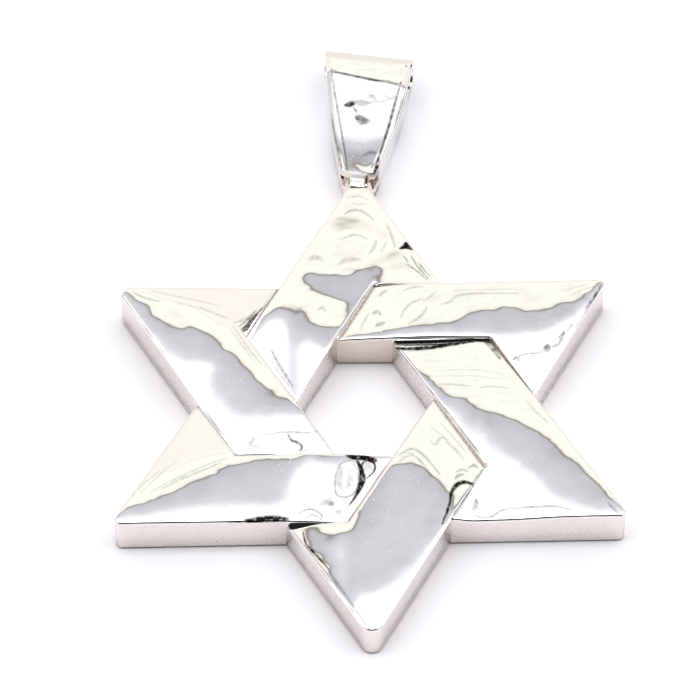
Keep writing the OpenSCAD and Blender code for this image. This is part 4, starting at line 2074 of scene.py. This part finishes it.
    def plan(self, points: Array, local_y: Array, half: Array, width: int) -> Array:
        """Return where points of the blank come to lie in the plan. See relief for the Args."""
        y = np.repeat(local_y, width)
        x = points[:, 0] * np.repeat(half, width) - y * math.tan(math.radians(self.fold_skew))
        return turned(np.column_stack([x, y]), -self.lean - self.fold_skew) + (0, self.eye_y)

    def relief(self, points: Array, local_y: Array, half: Array, width: int) -> Array:
        """Return how far the outer face stands proud at each point of the blank.

        Args:
            points: Points of the blank.
            local_y: Distance from the eye for each ring of points.
            half: Half width of the strip for each ring.
            width: Number of points in a ring.

        Returns:
            Heights in millimetres, nil away from the front leg's face.
        """
        marks = self.marks()
        plan = self.plan(points, local_y, half, width)
        slope = math.tan(math.radians(self.rise))

        def leg_height(spots: Array) -> Array:
            """Return the plain height of the front leg at plan points."""
            ahead = turned(spots - (0, self.eye_y), self.lean)[:, 1]
            return self.foot_t + ahead * slope

        length = points[:, 1]
        near = (length > marks["foot"] - self.foot_blend) & (length < marks["fold"])
        low = plan[near].min(axis=0) - self.face_margin
        high = plan[near].max(axis=0) + self.face_margin
        grid = self.face.build(low, high, self.foot_t + self.face_rise, leg_height)
        lift = np.where(near, sample(grid, plan) - leg_height(plan), 0)
        on_face = np.clip((length - marks["foot"]) / self.foot_blend, 0, 1)
        on_face *= np.clip(1 - (length - marks["front"]) / self.fold_blend, 0, 1) ** 2
        outer = points[:, 2] < self.strip_t / 2
        return lift * on_face * outer

    def build(self) -> bpy.types.Object:
        """Bend the blank round its path.

        Returns:
            The bail, lying in its place.
        """
        curve = bpy.data.curves.new("bail_path", "CURVE")
        curve.dimensions = "3D"
        path = self.path()
        spline = curve.splines.new("POLY")
        spline.points.add(len(path) - 1)
        for point, (y, z) in zip(spline.points, path):
            point.co = (0, y * METRE, z * METRE, 1)
        spline.use_cyclic_u = True
        guide = bpy.data.objects.new("bail_path", curve)
        bpy.context.scene.collection.objects.link(guide)
        blank = self.blank()
        tree = BentStrip().build()
        bend = blank.modifiers.new("bend", "NODES")
        bend.node_group = tree
        sizes = {
            "Path": guide,
            "Finish": bpy.data.materials[Finish.MIRROR.value.name],
            "Foot half width": self.foot_w / 2 * METRE,
            "Half widening": (self.fold_w - self.foot_w) / 2 * METRE,
            "Taper start": (self.tongue_l - self.foot_r) * METRE,
            "Taper length": (self.bail_len - self.tongue_l) * METRE,
            "Side bulge": self.side_bulge * METRE,
            "Tongue half width": self.tongue_w / 2 * METRE,
            "Shoulder": self.shoulder * METRE,
            "Skew slope": -math.tan(math.radians(self.fold_skew)),
            "Turn": (0.0, 0.0, -math.radians(self.lean + self.fold_skew)),
            "Place": (0.0, self.eye_y * METRE, 0.0),
        }
        for item in tree.interface.items_tree:
            if item.in_out == "INPUT" and item.name in sizes:
                bend[item.identifier] = sizes[item.name]
        bpy.context.view_layer.update()
        graph = bpy.context.evaluated_depsgraph_get()
        mesh = bpy.data.meshes.new_from_object(blank.evaluated_get(graph))
        mesh.name = "folded_bail"
        bail = bpy.data.objects.new("folded_bail", mesh)
        bpy.context.scene.collection.objects.link(bail)
        for helper in (blank, guide):
            bpy.data.objects.remove(helper)
        mesh.set_sharp_from_angle(angle=math.radians(SHARP_ANGLE))
        # Out of the buff's reach beside the eye, the strip is only filed.
        mesh.materials.append(bpy.data.materials[Finish.SATIN.value.name])
        near_eye = (self.eye_y + self.foot_r) * METRE
        for face in mesh.polygons:
            low = face.center.z < self.foot_r * METRE
            hidden = low or face.normal.z < self.polish_limit
            if face.center.y < near_eye and hidden:
                face.material_index = FILED
        return bail


def main() -> None:
    """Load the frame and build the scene."""
    logging.basicConfig(level=logging.INFO, format="%(name)s: %(message)s")
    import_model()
    cad_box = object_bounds()
    VIEW.build()
    studio = Studio()
    studio.build_world()
    studio.build_table()
    for finish in Finish:
        finish.value.build()
    star = Star().build()
    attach(star, ROOT_BODY)
    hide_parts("star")
    LOG.info("%s: %d faces", star.name, len(star.data.polygons))
    bail = Bail().build()
    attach(bail, ROOT_BODY)
    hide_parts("bail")
    LOG.info("%s: %d faces", bail.name, len(bail.data.polygons))
    boxes = {"cad": cad_box, "visual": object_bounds()}
    {k: [list(map(float, corner)) for corner in v] for k, v in boxes.items()}


if __name__ == "__main__":
    main()
